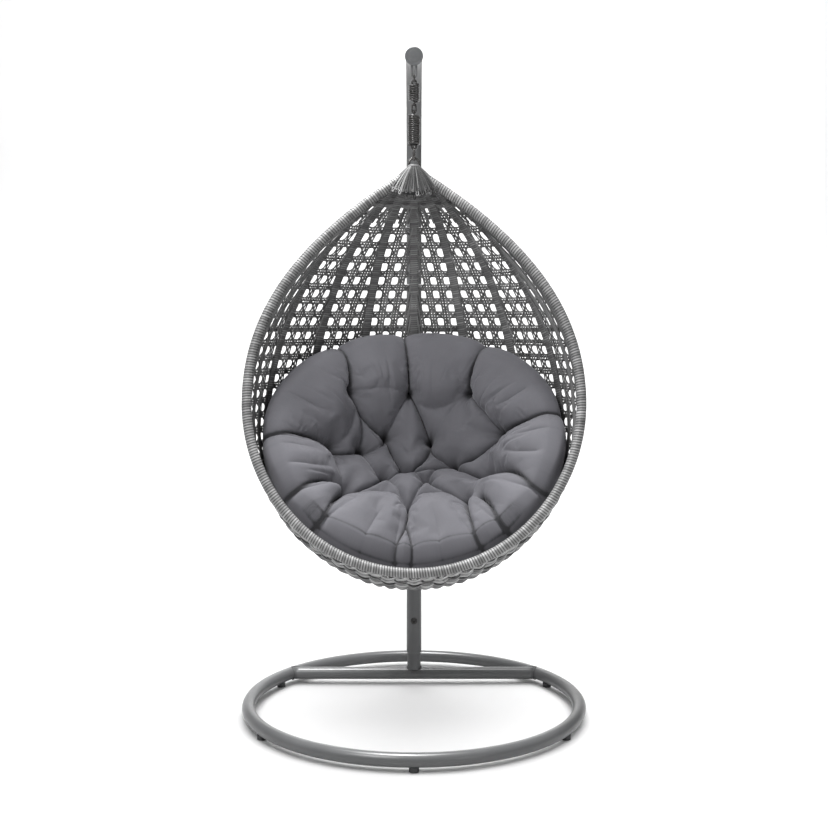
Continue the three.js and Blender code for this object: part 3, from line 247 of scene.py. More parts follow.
def own_look(dark, light):
    """A tone of its own for one strand, and where its streaks start."""
    return dict(tone=DRAW.uniform(dark, light), shift=DRAW.uniform(0, LONGEST_SHIFT))


def mesh_object(name, verts, quads, tris, material):
    """A smooth-shaded object in the scene, from its points and faces."""
    mesh = bpy.data.meshes.new(name)
    mesh.vertices.add(len(verts))
    mesh.vertices.foreach_set("co", np.asarray(verts, np.float32).ravel())
    corners = np.concatenate([quads.ravel(), tris.ravel()]).astype(np.int32)
    starts = np.concatenate([4 * np.arange(len(quads)), 4 * len(quads) + 3 * np.arange(len(tris))])
    mesh.loops.add(len(corners))
    mesh.loops.foreach_set("vertex_index", corners)
    mesh.polygons.add(len(starts))
    mesh.polygons.foreach_set("loop_start", starts.astype(np.int32))
    mesh.update(calc_edges=True)
    mesh.validate()
    mesh.shade_smooth()
    mesh.materials.append(material)
    ob = bpy.data.objects.new(name, mesh)
    bpy.context.scene.collection.objects.link(ob)
    return ob


def put_attribute(mesh, name, kind, field, values):
    mesh.attributes.new(name, kind, "POINT").data.foreach_set(field, np.asarray(values, np.float32).ravel())


def settle(ob, body, slot, *replaces):
    """Puts an object on its body, in place of the CAD nodes that it stands for. The slot is not used."""
    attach(ob, body)
    if replaces:
        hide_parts(*replaces)


def rod(name, material, body, slot, node, line, radius, sides=20, **settings):
    """A bent or straight rod that is a whole piece."""
    pile = Pile()
    pile.tube(line, radius, sides=sides, **settings)
    pile.piece(name, material, body, slot, node)


# ---------------------------------------------------------------- materials
class Nodes:
    """A node tree with a Principled shader, and short calls that add and join nodes."""

    def __init__(self, name, roughness=.5, metallic=0., **constants):
        self.material = bpy.data.materials.new(name)
        self.material.use_nodes = True
        self.tree = self.material.node_tree
        self.tree.nodes.clear()
        out = self.add("OutputMaterial")
        self.shader = self.add("BsdfPrincipled")
        self.tree.links.new(self.shader.outputs[0], out.inputs[0])
        self.shader.inputs["Roughness"].default_value = roughness
        self.shader.inputs["Metallic"].default_value = metallic
        for key, value in constants.items():
            self.shader.inputs[key.replace("_", " ")].default_value = value

    def add(self, kind, inputs=(), **settings):
        node = self.tree.nodes.new("ShaderNode" + kind)
        for key, value in settings.items():
            setattr(node, key, value)
        for key, source in dict(inputs).items():
            self.feed(node.inputs[key], source)
        return node

    def feed(self, socket, source):
        """Joins another node's socket to an input, or sets the input to a value."""
        if hasattr(source, "is_linked"):
            self.tree.links.new(source, socket)
        else:
            socket.default_value = source

    def attribute(self, name, output="Fac"):
        return self.add("Attribute", attribute_name=name).outputs[output]

    def place(self):
        return self.add("TexCoord").outputs["Object"]

    def scaled(self, vector, by):
        return self.add("VectorMath", {0: vector, 1: by}, operation="MULTIPLY").outputs[0]

    def noise(self, vector, scale, detail=3., rough=.55):
        inputs = {"Vector": vector, "Scale": scale, "Detail": detail, "Roughness": rough}
        return self.add("TexNoise", inputs).outputs[0]

    def math(self, operation, a, b=0.):
        return self.add("Math", {0: a, 1: b}, operation=operation).outputs[0]

    def sum(self, *parts):
        """Sources added up, each with its own weight."""
        total = None
        for source, weight in parts:
            part = self.math("MULTIPLY", source, weight)
            total = part if total is None else self.math("ADD", total, part)
        return total

    def ramp(self, value, *stops):
        """Colours between stops: pairs of a place from 0 to 1 and a colour."""
        node = self.add("ValToRGB", {0: value})
        ramp = node.color_ramp
        while len(ramp.elements) < len(stops):
            ramp.elements.new(.5)
        for element, (position, color) in zip(ramp.elements, stops):
            element.position, element.color = position, (*color, 1)
        return node.outputs[0]

    def span(self, value, low, high):
        """A value from 0 to 1, spread over another range."""
        return self.add("MapRange", {"Value": value, "To Min": low, "To Max": high}).outputs[0]

    def color(self, source):
        self.feed(self.shader.inputs["Base Color"], source)

    def roughness(self, source):
        self.feed(self.shader.inputs["Roughness"], source)

    def bump(self, height, distance, strength=1., below=None):
        """Fine relief on top of another bump node's, where one is given."""
        node = self.add("Bump", {"Distance": distance, "Strength": strength, "Height": height})
        if below is not None:
            self.feed(node.inputs["Normal"], below)
        self.tree.links.new(node.outputs[0], self.shader.inputs["Normal"])
        return node.outputs[0]


def grey(value, warm=0.):
    """A grey that leans to red by a share of itself, or to blue where warm is under 0."""
    return (value * (1 + warm), value, value * (1 - warm))


def coated(name, dark, light, blue=.05, roughness=(.36, .5)):
    """Powder coat: fine orange peel, faint clouds of tone and small dull specks."""
    m = Nodes(name, IOR=1.5)
    place = m.place()
    clouds = m.sum((m.noise(place, 9., 4.), .7), (m.noise(place, 900., 2.), .3))
    m.color(m.ramp(clouds, (.3, grey(dark, -blue)), (.7, grey(light, -blue))))
    m.roughness(m.span(m.noise(place, 40., 5.), *roughness))
    first = m.bump(m.noise(place, 420., 2.), .00012, .6)
    m.bump(m.noise(place, 2600., 1.), .00004, .5, below=first)
    return m.material


def strand_material(name, dark, light, warm=0., roughness=.46):
    """Resin strand: streaks along it, a tone of its own, and shallow grooves."""
    m = Nodes(name, IOR=1.48)
    lie = m.attribute("lie", "Vector")
    streak = m.noise(m.scaled(lie, (14., 2.2, 2.2)), 1.6, 4., .65)
    # On the wound rim, ribs and hoops the tone attribute also carries painted shade in the grooves between wraps.
    mix = m.sum((streak, .26), (m.noise(m.place(), 22., 3.), .12), (m.attribute("tone"), .62))
    middle = (dark * light) ** .5
    m.color(m.ramp(mix, (.2, grey(dark, warm)), (.5, grey(middle, warm)), (.82, grey(light, warm))))
    m.roughness(m.span(streak, roughness - .1, roughness + .14))
    grooves = m.noise(m.scaled(lie, (5., 5.5, 5.5)), 2.4, 2., .6)
    first = m.bump(grooves, .0005, .8)
    m.bump(m.noise(m.place(), 1500., 2.), .00006, .5, below=first)
    return m.material


def metal(name, dark, light, warm, roughness, metallic=.9):
    """Plated rod: a mottled plate with fine drawing lines."""
    m = Nodes(name, metallic=metallic)
    place = m.place()
    mottle = m.noise(place, 260., 4.)
    m.color(m.ramp(mottle, (.3, grey(dark, warm)), (.7, grey(light, warm))))
    m.roughness(m.span(m.noise(place, 700., 3.), *roughness))
    lines = m.noise(m.scaled(m.attribute("lie", "Vector"), (1., 30., 30.)), 3., 3.)
    m.bump(lines, .0001, .5)
    return m.material


def moulded(name, dark, light, roughness):
    """Moulded plastic or rubber: a fine spark-eroded grain and faint flow clouds."""
    m = Nodes(name)
    place = m.place()
    m.color(m.ramp(m.noise(place, 60., 4.), (.3, grey(dark, -.03)), (.7, grey(light, -.03))))
    m.roughness(m.span(m.noise(place, 350., 3.), *roughness))
    m.bump(m.noise(place, 1700., 2.), .00008, .7)
    return m.material


# Threads in a metre of cloth.
THREADS = 1450


def cloth_material(name, dark, light):
    """Woven polyester: warp and weft ribs in the sheet's own directions, slubs, a soft sheen, and painted shade in the
    creases, the tufts and along the seam.
    """
    m = Nodes(name, roughness=.86, Sheen_Weight=.28, Sheen_Roughness=.45, Sheen_Tint=(.75, .75, .8, 1))
    flat = m.attribute("flat", "Vector")
    split = m.add("SeparateXYZ")
    m.feed(split.inputs[0], flat)
    warp, weft = (m.math("SINE", m.math("MULTIPLY", split.outputs[k], THREADS * TURN)) for k in (0, 1))
    weave = m.math("MULTIPLY", warp, weft)
    slubs = [m.noise(m.scaled(flat, by), 1., 2.) for by in ((40., 900., 1.), (900., 40., 1.))]
    slub = m.math("MULTIPLY", m.math("ADD", *slubs), .5)
    # The fold attribute is painted shade: it pulls the colour down to the darkest stop in the pinched slits of creases
    # and tufts and along the seam.
    mix = m.sum((m.noise(m.place(), 7., 4.), .45), (slub, .45), (m.span(weave, 0., 1.), .1), (m.attribute("fold"), -.5))
    tint = np.array([.98, .97, 1.08])
    m.color(m.ramp(mix, (0., tuple(tint * dark * .22)), (.3, tuple(tint * dark)), (.7, tuple(tint * light))))
    m.roughness(m.span(slub, .78, .92))
    first = m.bump(m.noise(m.place(), 160., 3.), .0004, .35)
    second = m.bump(slub, .00025, .6, below=first)
    m.bump(weave, .00012, .5, below=second)
    return m.material


PAINT = coated("powder_coat", .085, .108, .02, (.26, .38))
# A lighter copy of the same powder coat, for the stub, the pole and the hanger rod: painted light on the pole.
LIT_POLE_PAINT = coated("powder_coat_lit_pole", .105, .13, .02, (.3, .44))
WELD = coated("weld_coat", .06, .08, .02, roughness=(.4, .55))
CAP_PLASTIC = moulded("cap_plastic", .105, .13, (.4, .55))
RUBBER = moulded("foot_rubber", .035, .055, (.55, .75))
ZINC = metal("zinc_plate", .05, .16, .03, (.2, .34), .6)
SPRING_STEEL = metal("spring_steel", .03, .07, .03, (.2, .3), .3)
BOLT_STEEL = metal("bolt_steel", .04, .08, .02, (.3, .45))
RIM_STRAND = strand_material("rim_strand", .025, .42, roughness=.4)
RIB_STRAND = strand_material("rib_strand", .045, .25)
CANE = strand_material("cane_strand", .06, .25)
FAN_STRAND = strand_material("fan_strand", .022, .42, roughness=.4)
BOWL_STRAND = strand_material("bowl_strand", .015, .48)
CORE = moulded("wrap_core", .04, .06, (.7, .85))
CLOTH = cloth_material("cushion_cloth", .108, .142)


# ---------------------------------------------------------------- camera, light and floor
SENSOR_WIDTH = 36
FOCUS_PIXELS = 1209
PHOTO_PIXELS = 828
CAMERA_PLACE = (0, -3.476, 1.139)
CAMERA_TILT = radians(4.33)
VIEW_LIMIT = 60
SKY = ((.45, (.11, .11, .115, 1)), (1, (.40, .40, .40, 1)))
FLOOR_FRONT = -9.
FLOOR_HALF = 14.
WALL_BACK = 7.
WALL_TOP = 9.
COVE_RADIUS = 2.5
# Each light: its name, its place, what it aims at, its size, its power and its link with the floor.
LIGHTS = (
    ("key", (-1.4, -2.4, 3.2), (0, 0, .9), 1.0, 84, "EXCLUDE"),
    ("top", (-.35, .15, 4.3), (0, 0, .6), 1.2, 330, "EXCLUDE"),
    ("fill", (2.2, -3.6, .9), (0, 0, .7), 1.2, 13, "EXCLUDE"),
    ("sweep", (0, -.6, 4.6), (0, -.6, 0), 7.0, 330, "INCLUDE"),
    ("backdrop", (0, 4.6, 5.5), (0, 7.5, 1.0), 5., 340, "INCLUDE"),
)


def add_camera():
    """The camera that was fitted to the photo."""
    data = bpy.data.cameras.new("camera")
    data.sensor_fit = "HORIZONTAL"
    data.sensor_width = SENSOR_WIDTH
    data.lens = SENSOR_WIDTH * FOCUS_PIXELS / PHOTO_PIXELS
    data.clip_end = VIEW_LIMIT
    ob = bpy.data.objects.new("camera", data)
    ob.location = CAMERA_PLACE
    ob.rotation_euler = (QUARTER - CAMERA_TILT, 0, 0)
    bpy.context.scene.collection.objects.link(ob)
    bpy.context.scene.camera = ob


def add_light(name, place, aim, size, power, floor_link):
    """A round soft light. floor_link EXCLUDE keeps it off the studio floor, and INCLUDE keeps it on that alone."""
    data = bpy.data.lights.new(name, "AREA")
    data.shape = "DISK"
    data.size = size
    data.energy = power
    ob = bpy.data.objects.new(name, data)
    ob.location = place
    way = unit(np.array(aim, float) - np.array(place, float))
    ob.rotation_euler = Vector(way).to_track_quat("-Z", "Y").to_euler()
    bpy.context.scene.collection.objects.link(ob)
    group = bpy.data.collections.new(name + "_link")
    group.objects.link(bpy.data.objects["studio_floor"])
    group.collection_objects[0].light_linking.link_state = floor_link
    ob.light_linking.receiver_collection = group


def add_stage():
    """A dim even world, and a pale floor that curves up into a wall behind."""
    world = bpy.data.worlds.new("studio")
    world.use_nodes = True
    nodes, links = world.node_tree.nodes, world.node_tree.links
    way = nodes.new("ShaderNodeTexCoord")
    split = nodes.new("ShaderNodeSeparateXYZ")
    height = nodes.new("ShaderNodeMapRange")
    height.inputs["From Min"].default_value = -1
    sky = nodes.new("ShaderNodeValToRGB")
    for element, (position, color) in zip(sky.color_ramp.elements, SKY):
        element.position, element.color = position, color
    links.new(way.outputs["Generated"], split.inputs[0])
    links.new(split.outputs[2], height.inputs["Value"])
    links.new(height.outputs[0], sky.inputs[0])
    links.new(sky.outputs[0], nodes["Background"].inputs[0])
    bpy.context.scene.world = world
    bpy.context.scene.view_settings.view_transform = "Standard"
    bend = np.linspace(0, QUARTER, 24)[1:]
    profile = [(FLOOR_FRONT, 0.), (WALL_BACK - COVE_RADIUS, 0.)]
    profile += [(WALL_BACK - COVE_RADIUS + COVE_RADIUS * sin(a), COVE_RADIUS - COVE_RADIUS * cos(a)) for a in bend]
    profile += [(WALL_BACK, WALL_TOP)]
    verts = np.array([(x, y, z) for y, z in profile for x in (-FLOOR_HALF, FLOOR_HALF)])
    quads = np.array([(2 * i, 2 * i + 1, 2 * i + 3, 2 * i + 2) for i in range(len(profile) - 1)])
    m = Nodes("studio_paper", roughness=.9)
    m.color(m.ramp(m.noise(m.place(), 3., 3.), (.3, grey(.90)), (.7, grey(.915))))
    m.bump(m.noise(m.place(), 300., 3.), .0002, .2)
    floor = mesh_object("studio_floor", verts, quads, np.zeros((0, 3), int), m.material)


add_camera()
add_stage()
for light in LIGHTS:
    add_light(*light)


# ---------------------------------------------------------------- stand
BAR_WELD = .0026
STUB_WELD = .0028
EYE_WELD = .0016
EYE_WELD_REACH = .0038


def arc_line(radius, height, start, end, steps):
    angle = np.linspace(start, end, steps)
    return np.stack([radius * np.cos(angle), radius * np.sin(angle), np.full(steps, height)], -1)


def pole_point(along):
    """The pole's middle line at a length along it: a long bow, then a tight arch."""
    along = np.asarray(along, float)
    low, high = (BOW_LENGTH - along) / BOW_RADIUS, (along - BOW_LENGTH) / ARCH_RADIUS
    on_bow = along < BOW_LENGTH
    y = POLE_SETBACK - np.where(on_bow, BOW_RADIUS * (1 - np.cos(low)), ARCH_RADIUS * (1 - np.cos(high)))
    z = ARCH_SPRING + np.where(on_bow, -BOW_RADIUS * np.sin(low), ARCH_RADIUS * np.sin(high))
    return np.stack([np.zeros_like(y), y, z], -1)


def pole_stations(start, end, step=.012):
    """Even lengths along the pole, about a step apart."""
    count = max(2, int(ceil((end - start) / step)) + 1)
    return np.linspace(start, end, count)


def rounded_tube(pile, line, radius, edge=.0012, sides=48):
    """A tube whose end faces have a small rounded edge."""
    line = np.asarray(line, float)
    first, last = unit(line[1] - line[0]), unit(line[-1] - line[-2])
    steps = np.array([0, .12, .45, 1.01])[:, None]
    radii = radius - edge * (1 - np.array([.86, .94, .985, 1])) * 4
    whole = np.concatenate([line[0] + first * edge * steps, line[1:-1], line[-1] - last * edge * steps[::-1]])
    pile.tube(whole, np.concatenate([radii, np.full(len(line) - 2, radius), radii[::-1]]), sides=sides)


def make_ring():
    """The base ring: two halves that meet at a fine seam on the cross bar's line."""
    joint = atan2(BAR_SETBACK, BAR_HALF)
    seam = .0006 / RING_RADIUS
    for name, start, end in (("base_ring_front", pi - joint - TURN, joint), ("base_ring_rear", joint, pi - joint)):
        pile = Pile()
        rounded_tube(pile, arc_line(RING_RADIUS, RING_HEIGHT, start + seam, end - seam, 240), RING_TUBE, .0008, 56)
        pile.piece(name + "_tube", PAINT, "stand", "frame_paint", name)


def make_feet():
    """Grooved rubber feet under the ring."""
    r, top = FOOT_RADIUS, FOOT_HEIGHT + FOOT_CUP * .55
    profile = [(r - .0045, .0012), (r - .0038, 0), (r - .002, 0), (r - .0006, .0007), (r, .002)]
    for groove in (.0045, .0075):
        profile += [(r, groove - .0006), (r - .0007, groove), (r, groove + .0006)]
    profile += [(r, top - .001), (r - .0005, top), (r - .003, top + .0004)]
    for i in range(FOOT_COUNT):
        angle = -QUARTER + i / FOOT_COUNT * TURN
        pile = Pile()
        pile.lathe(profile, (RING_RADIUS * cos(angle), RING_RADIUS * sin(angle), 0))
        pile.piece("rubber_foot_%d" % (i + 1), RUBBER, "stand", "foot_rubber", "foot_%d" % (i + 1))


def bead_along(pile, line, radius):
    """A weld bead: overlapping ripples along a closed line."""
    run = np.linspace(0, 1, len(line), endpoint=False)
    ripples = round(len(line) / 5)
    swell = 1 + .16 * np.abs(np.sin(pi * ripples * run)) - .08
    pile.tube(line, radius * swell, sides=10, closed=True)


def make_cross_bar():
    """The bar across the ring, with the welds at its ends and round the pole's stub."""
    half = BAR_HALF - .004
    line = [(x, BAR_SETBACK, RING_HEIGHT) for x in np.linspace(-half, half, 40)]
    rod("cross_tube", PAINT, "stand", "frame_paint", "cross_bar", line, BAR_TUBE, 48)
    welds = Pile()
    angle = np.arange(150) / 150 * TURN
    for side in (-1, 1):
        y = BAR_SETBACK + BAR_TUBE * np.cos(angle)
        inner = RING_RADIUS - RING_TUBE * np.abs(np.cos(angle)) - .0005
        x = np.sqrt(np.maximum(inner ** 2 - y ** 2, 0)) * side
        bead_along(welds, np.stack([x, y, RING_HEIGHT + BAR_TUBE * np.sin(angle)], -1), BAR_WELD)
    lift = np.sqrt(np.maximum(BAR_TUBE ** 2 - (STUB_RADIUS * np.cos(angle)) ** 2 * .72, 1e-8))
    y = BAR_SETBACK + STUB_RADIUS * np.cos(angle) * .86
    bead_along(welds, np.stack([STUB_RADIUS * np.sin(angle), y, RING_HEIGHT + lift + .0005], -1), STUB_WELD)
    welds.piece("frame_welds", WELD, "stand", "frame_paint")


def socket_head(pile, place, way):
    """A round-headed screw with a socket, on its washer. It looks out along way."""
    r, h, e = .008, .004, .0015
    head = [(r * .96, 0), (r, .0004), (r, h - e), (r - e * .3, h - e * .35), (r - e, h)]
    head += [(.0046, h), (.0042, h - .0006), (.004, h - .0025)]
    washer = [(.0095, 0), (.0105, .0002), (.0105, .0009), (.0098, .0012), (.004, .0012)]
    pile.lathe(head, place + way * (POLE_RADIUS - .0006), way, segments=36)
    pile.lathe(washer, place + way * (POLE_RADIUS - .0009), way, segments=36)


def make_pole():
    """The stub on the cross bar, the pole's two lengths on it, their screws and the cap at the end."""
    line = pole_point(pole_stations(.012, .22))
    rod("stub_tube", LIT_POLE_PAINT, "stand", "frame_paint", "pole_stub", line, STUB_RADIUS, 48)
    bow = pole_stations(POLE_JOINT + POLE_SEAM, BOW_LENGTH, .03)
    arch = pole_stations(BOW_LENGTH, POLE_LENGTH, .008)[1:]
    for name, along in (
        ("lower", pole_stations(POLE_LIFT, POLE_JOINT - POLE_SEAM, .03)),
        ("upper", np.concatenate([bow, arch])),
    ):
        pile = Pile()
        rounded_tube(pile, pole_point(along), POLE_RADIUS)
        pile.piece(name + "_pole_tube", LIT_POLE_PAINT, "stand", "frame_paint", "pole_" + name)
    for name, along in zip(("lower", "upper"), SCREW_PLACES):
        pile = Pile()
        ahead = unit(pole_point(along + .001) - pole_point(along - .001))
        socket_head(pile, pole_point(along), np.array([0, -ahead[2], ahead[1]]))
        pile.piece("pole_bolt_" + name, BOLT_STEEL, "stand", "bright_steel", "pole_screw_" + name)
    cap = Pile()
    end, before = pole_point(POLE_LENGTH), pole_point(POLE_LENGTH - .002)
    r, t = CAP_RADIUS, CAP_THICKNESS
    profile = [
        (.019, -.014), (.020, -.012), (.020, .0003), (r - .0008, .0003), (r, .0010), (r, t - .0026),
        (r - .0005, t - .0012), (r - .0016, t - .0003), (r - .003, t), (r - .006, t + .00005), (r - .0065, t - .0003),
        (r - .0075, t - .0003), (r - .008, t + .0001), (.002, t + .0006),
    ]
    cap.lathe(profile, end, unit(end - before), segments=64)
    cap.piece("end_cap", CAP_PLASTIC, "stand", "cap_plastic", "pole_end_cap")


# ---------------------------------------------------------------- hanging hardware
def link_line(half, top, bottom, across, step):
    """The middle line of a long ring, in the plane of Z and across."""
    angle = np.linspace(0, pi, 20)
    high = np.stack([half * np.cos(angle), top - half + half * np.sin(angle)], -1)
    low = np.stack([-half * np.cos(angle), bottom + half - half * np.sin(angle)], -1)
    return even(facing(np.concatenate([high, low]), across), step, True)


def facing(line, across):
    """Puts a flat line of out and up pairs into the plane of Z and across."""
    across = np.asarray(across, float)
    return line[:, :1] * across + line[:, 1:] * np.array([0, 0, 1.])


def even(line, step, closed=False):
    """The line again, in steps of about one length."""
    line = np.asarray(line, float)
    if closed:
        line = np.concatenate([line, line[:1]])
    run = run_of(line)
    keep = np.concatenate([[True], np.diff(run) > 1e-9])
    line, run = line[keep], run[keep]
    at = np.linspace(0, run[-1], max(3, int(round(run[-1] / step)) + 1))
    return taken_at(at[:-1] if closed else at, run, line)


def catch_line(curl, wire, height, angle, direction):
    """The open loop at a spring's end, from its tip to the first coil."""
    sweep = TURN - 2 * CATCH_OPENING
    turned = CATCH_OPENING - QUARTER + sweep * np.linspace(0, 1, 28)
    out = np.concatenate([[curl], CATCH_RADIUS * np.cos(turned)])
    rise = np.concatenate([[wire / 2], CATCH_LIFT + CATCH_RADIUS * np.sin(turned)])
    last = np.array([out[-1] - out[-2], rise[-1] - rise[-2]])
    last = last / np.linalg.norm(last) * 2 * wire
    out, rise = np.append(out, out[-1] + last[0]), np.append(rise, rise[-1] + last[1])
    way = np.array([cos(angle), sin(angle), 0])
    return out[:, None] * way + np.stack([0 * rise, 0 * rise, height + direction * rise], -1)


def spring_line(spring, top, bottom):
    """A spring's wire: an open loop at each end, and the coils between them."""
    curl, wire, start, turns = (spring[key] for key in ("curl", "wire", "start", "turns"))
    per_turn = 32
    steps = round(turns * per_turn)
    i = np.arange(4, steps - 3)
    angle = start + i / per_turn * TURN
    coils = np.stack([curl * np.cos(angle), curl * np.sin(angle), top - (top - bottom) / steps * i], -1)
    head = catch_line(curl, wire, top, start, 1)[::-1]
    tail = catch_line(curl, wire, bottom, start + turns * TURN, -1)
    return soften(even(np.concatenate([head, coils, tail]), .0016), 2)


def soften(line, passes):
    """Rounds the corners of a line, with its ends kept."""
    line = line.copy()
    for _ in range(passes):
        line[1:-1] = line[1:-1] * .5 + (line[:-2] + line[2:]) * .25
    return line


def bent_rod_line(half, round_height, leg_height):
    """A rod bent into a half circle with two straight legs, in two coordinates, out and up."""
    turn = -1 if round_height < leg_height else 1
    middle = round_height - turn * half
    angle = np.linspace(0, pi, 28)
    arc = np.stack([half * np.cos(angle), middle + turn * half * np.sin(angle)], -1)
    return even(np.concatenate([[(half, leg_height)], arc, [(-half, leg_height)]]), .0016)


def make_chain():
    """The links and springs that the pod hangs by, from the eye on the pole down to the eye on the pod."""
    sideways, backward = (1, 0, 0), (0, 1, 0)
    legs = EYE_BOTTOM + 2 * POLE_RADIUS - .006
    line = facing(bent_rod_line(EYE_HALF, EYE_BOTTOM, legs), sideways)
    rod("hanger_rod", LIT_POLE_PAINT, "stand", "frame_paint", "hanger_eye", line, EYE_ROD)
    beads = Pile()
    angle = np.arange(30) / 30 * TURN
    for side in (-1, 1):
        out, back = side * EYE_HALF + EYE_WELD_REACH * np.cos(angle), EYE_WELD_REACH * np.sin(angle)
        bead_along(beads, np.stack([out, back, np.full(len(angle), EYE_BOTTOM + .0378)], -1), EYE_WELD)
    beads.piece("hanger_welds", WELD, "stand", "frame_paint")
    line = link_line(LINK_HALF, LINK_TOP, LINK_BOTTOM, backward, .0016)
    rod("top_ring_link", ZINC, "top_link_body", "bright_steel", "top_link", line, LINK_ROD, closed=True,
        normal=sideways)
    line = link_line(MIDDLE_HALF, MIDDLE_TOP, MIDDLE_BOTTOM, sideways, .0014)
    rod("middle_ring_link", SPRING_STEEL, "mid_hanger", "spring_steel", "middle_link", line, MIDDLE_ROD, closed=True,
        normal=backward)
    for name, spring, top, bottom, above, below in (
        ("upper_spring", UPPER_SPRING, UPPER_SPRING_TOP, UPPER_SPRING_BOTTOM, "upper_hanger", "mid_hanger"),
        ("lower_spring", LOWER_SPRING, LOWER_SPRING_TOP, LOWER_SPRING_BOTTOM, "mid_hanger", "hook_body"),
    ):
        pile = Pile()
        pile.tube(spring_line(spring, top, bottom), spring["wire"], sides=16)
        ob = pile.thing(name + "_wire", SPRING_STEEL)
        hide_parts(name)
        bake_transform(ob)
    hook = Pile()
    line = link_line(HOOK_HALF, HOOK_TOP, HOOK_BOTTOM, backward, .0018)
    hook.tube(line, HOOK_ROD, sides=20, closed=True, normal=sideways)
    r, h = .0048, .0075
    nut = [(r * .9, -h), (r, -h + .0006), (r, -h + .0012)]
    for groove in np.linspace(-h + .003, h - .003, 6):
        nut += [(r, groove - .0004), (r - .0003, groove), (r, groove + .0004)]
    nut += [(r, h - .0012), (r, h - .0006), (r * .9, h)]
    hook.lathe(nut, (0, HOOK_HALF, (HOOK_TOP + HOOK_BOTTOM) / 2), segments=6)
    hook.piece("pod_screw_link", ZINC, "hook_body", "bright_steel", "pod_hook")
    line = facing(bent_rod_line(POD_EYE_HALF, POD_EYE_TOP, APEX + .001), sideways)
    rod("pod_eye_rod", ZINC, "pod", "bright_steel", "pod_eye", line, POD_EYE_ROD, 24)


# ---------------------------------------------------------------- the pod's shell
# The four control points of half the rim over its widest place.
RIM_HANDLE = .5785 * RIM_RISE
RIM_HANDLE_ANGLE = radians(58.1)
RIM_POINTS = np.array([
    [0, APEX],
    [RIM_HANDLE * sin(RIM_HANDLE_ANGLE), APEX - RIM_HANDLE * cos(RIM_HANDLE_ANGLE)],
    [RIM_RADIUS, RIM_MIDDLE + .3826 * RIM_RISE],
    [RIM_RADIUS, RIM_MIDDLE],
])
POD_CENTRE = np.array([0, -.05, .95])
# How far down the shell the lowest places are looked for, and the step that normals are taken over.
LOWEST_DOWN = 1.62
NUDGE = 1e-3


def rim_half(down):
    """Half of the rim's line over the widest place, as out and up pairs."""
    p, b = RIM_POINTS, np.asarray(down, float)[..., None]
    return (1 - b) ** 3 * p[0] + 3 * (1 - b) ** 2 * b * p[1] + 3 * (1 - b) * b * b * p[2] + b ** 3 * p[3]


def bowl_place(out, up, back):
    """A place on the bowl, from its three coordinates on a ball."""
    y = RIM_SETBACK + RIM_SLOPE * RIM_RADIUS * up + POD_DEPTH * back
    return np.stack([RIM_RADIUS * out, y, RIM_MIDDLE + RIM_RADIUS * up - POD_DROP * back], -1)


def shell(turned, down):
    """The shell's middle surface, at an angle round it and a share down it: 0 the apex, 1 the widest place."""
    turned, down = np.broadcast_arrays(np.asarray(turned, float), np.asarray(down, float))
    t = down * QUARTER
    low = bowl_place(np.sin(t) * np.sin(turned), np.cos(t), np.sin(t) * np.cos(turned))
    rim = rim_half(np.clip(down, 0, 1))
    rim_back = -RIM_SLOPE * (APEX - rim[..., 1])
    back = RIM_SETBACK * (1 - np.cos(t)) + POD_DEPTH * np.sin(t)
    height = RIM_MIDDLE + RIM_RISE * np.cos(t) - POD_DROP * np.sin(t)
    share = np.cos(turned)
    high = np.stack([
        rim[..., 0] * np.sin(turned),
        rim_back + (back - rim_back) * share,
        rim[..., 1] + (height - rim[..., 1]) * share,
    ], -1)
    return np.where((down > 1)[..., None], low, high)


def outward(across, downward, place):
    """Normals that look away from the pod's centre."""
    normal = unit(np.cross(across, downward))
    flip = np.sum(normal * (place - POD_CENTRE), -1, keepdims=True) < 0
    return np.where(flip, -normal, normal)


def shell_normal(turned, down):
    """The shell's outward normal at the same two coordinates."""
    across = shell(turned + NUDGE, down) - shell(turned - NUDGE, down)
    downward = shell(turned, down + NUDGE) - shell(turned, np.maximum(down - NUDGE, 0))
    return outward(across, downward, shell(turned, down))


# Level sections of the shell: for each height, where each angle round meets it.
LEVELS = np.linspace(.40, 1.535, 456)
ROUNDS = np.linspace(-QUARTER, QUARTER, 361)


def level_table():
    """For each level and each angle round the shell, how far down the shell they meet."""
    downs = np.linspace(.02, LOWEST_DOWN, 1600)
    table = np.zeros((len(LEVELS), len(ROUNDS)))
    for j, turned in enumerate(ROUNDS):
        heights = shell(turned, downs)[:, 2]
        order = np.argsort(heights)
        table[:, j] = np.interp(LEVELS, heights[order], downs[order])
    return table


LEVEL_DOWN = level_table()
LEVEL_PLACE = shell(np.broadcast_to(ROUNDS, LEVEL_DOWN.shape), LEVEL_DOWN)


def rib_turned(index, level):
    """The angle round the shell of a rib, at one row of the level table."""
    if abs(index) > OUTER_RIB:
        return QUARTER * np.sign(index)
    straight = index * RIB_STEP
    down = np.interp(straight, ROUNDS, LEVEL_DOWN[level])
    if down <= 1:
        return straight
    return float(np.interp(RIM_RADIUS * sin(straight), LEVEL_PLACE[level, :, 0], ROUNDS))


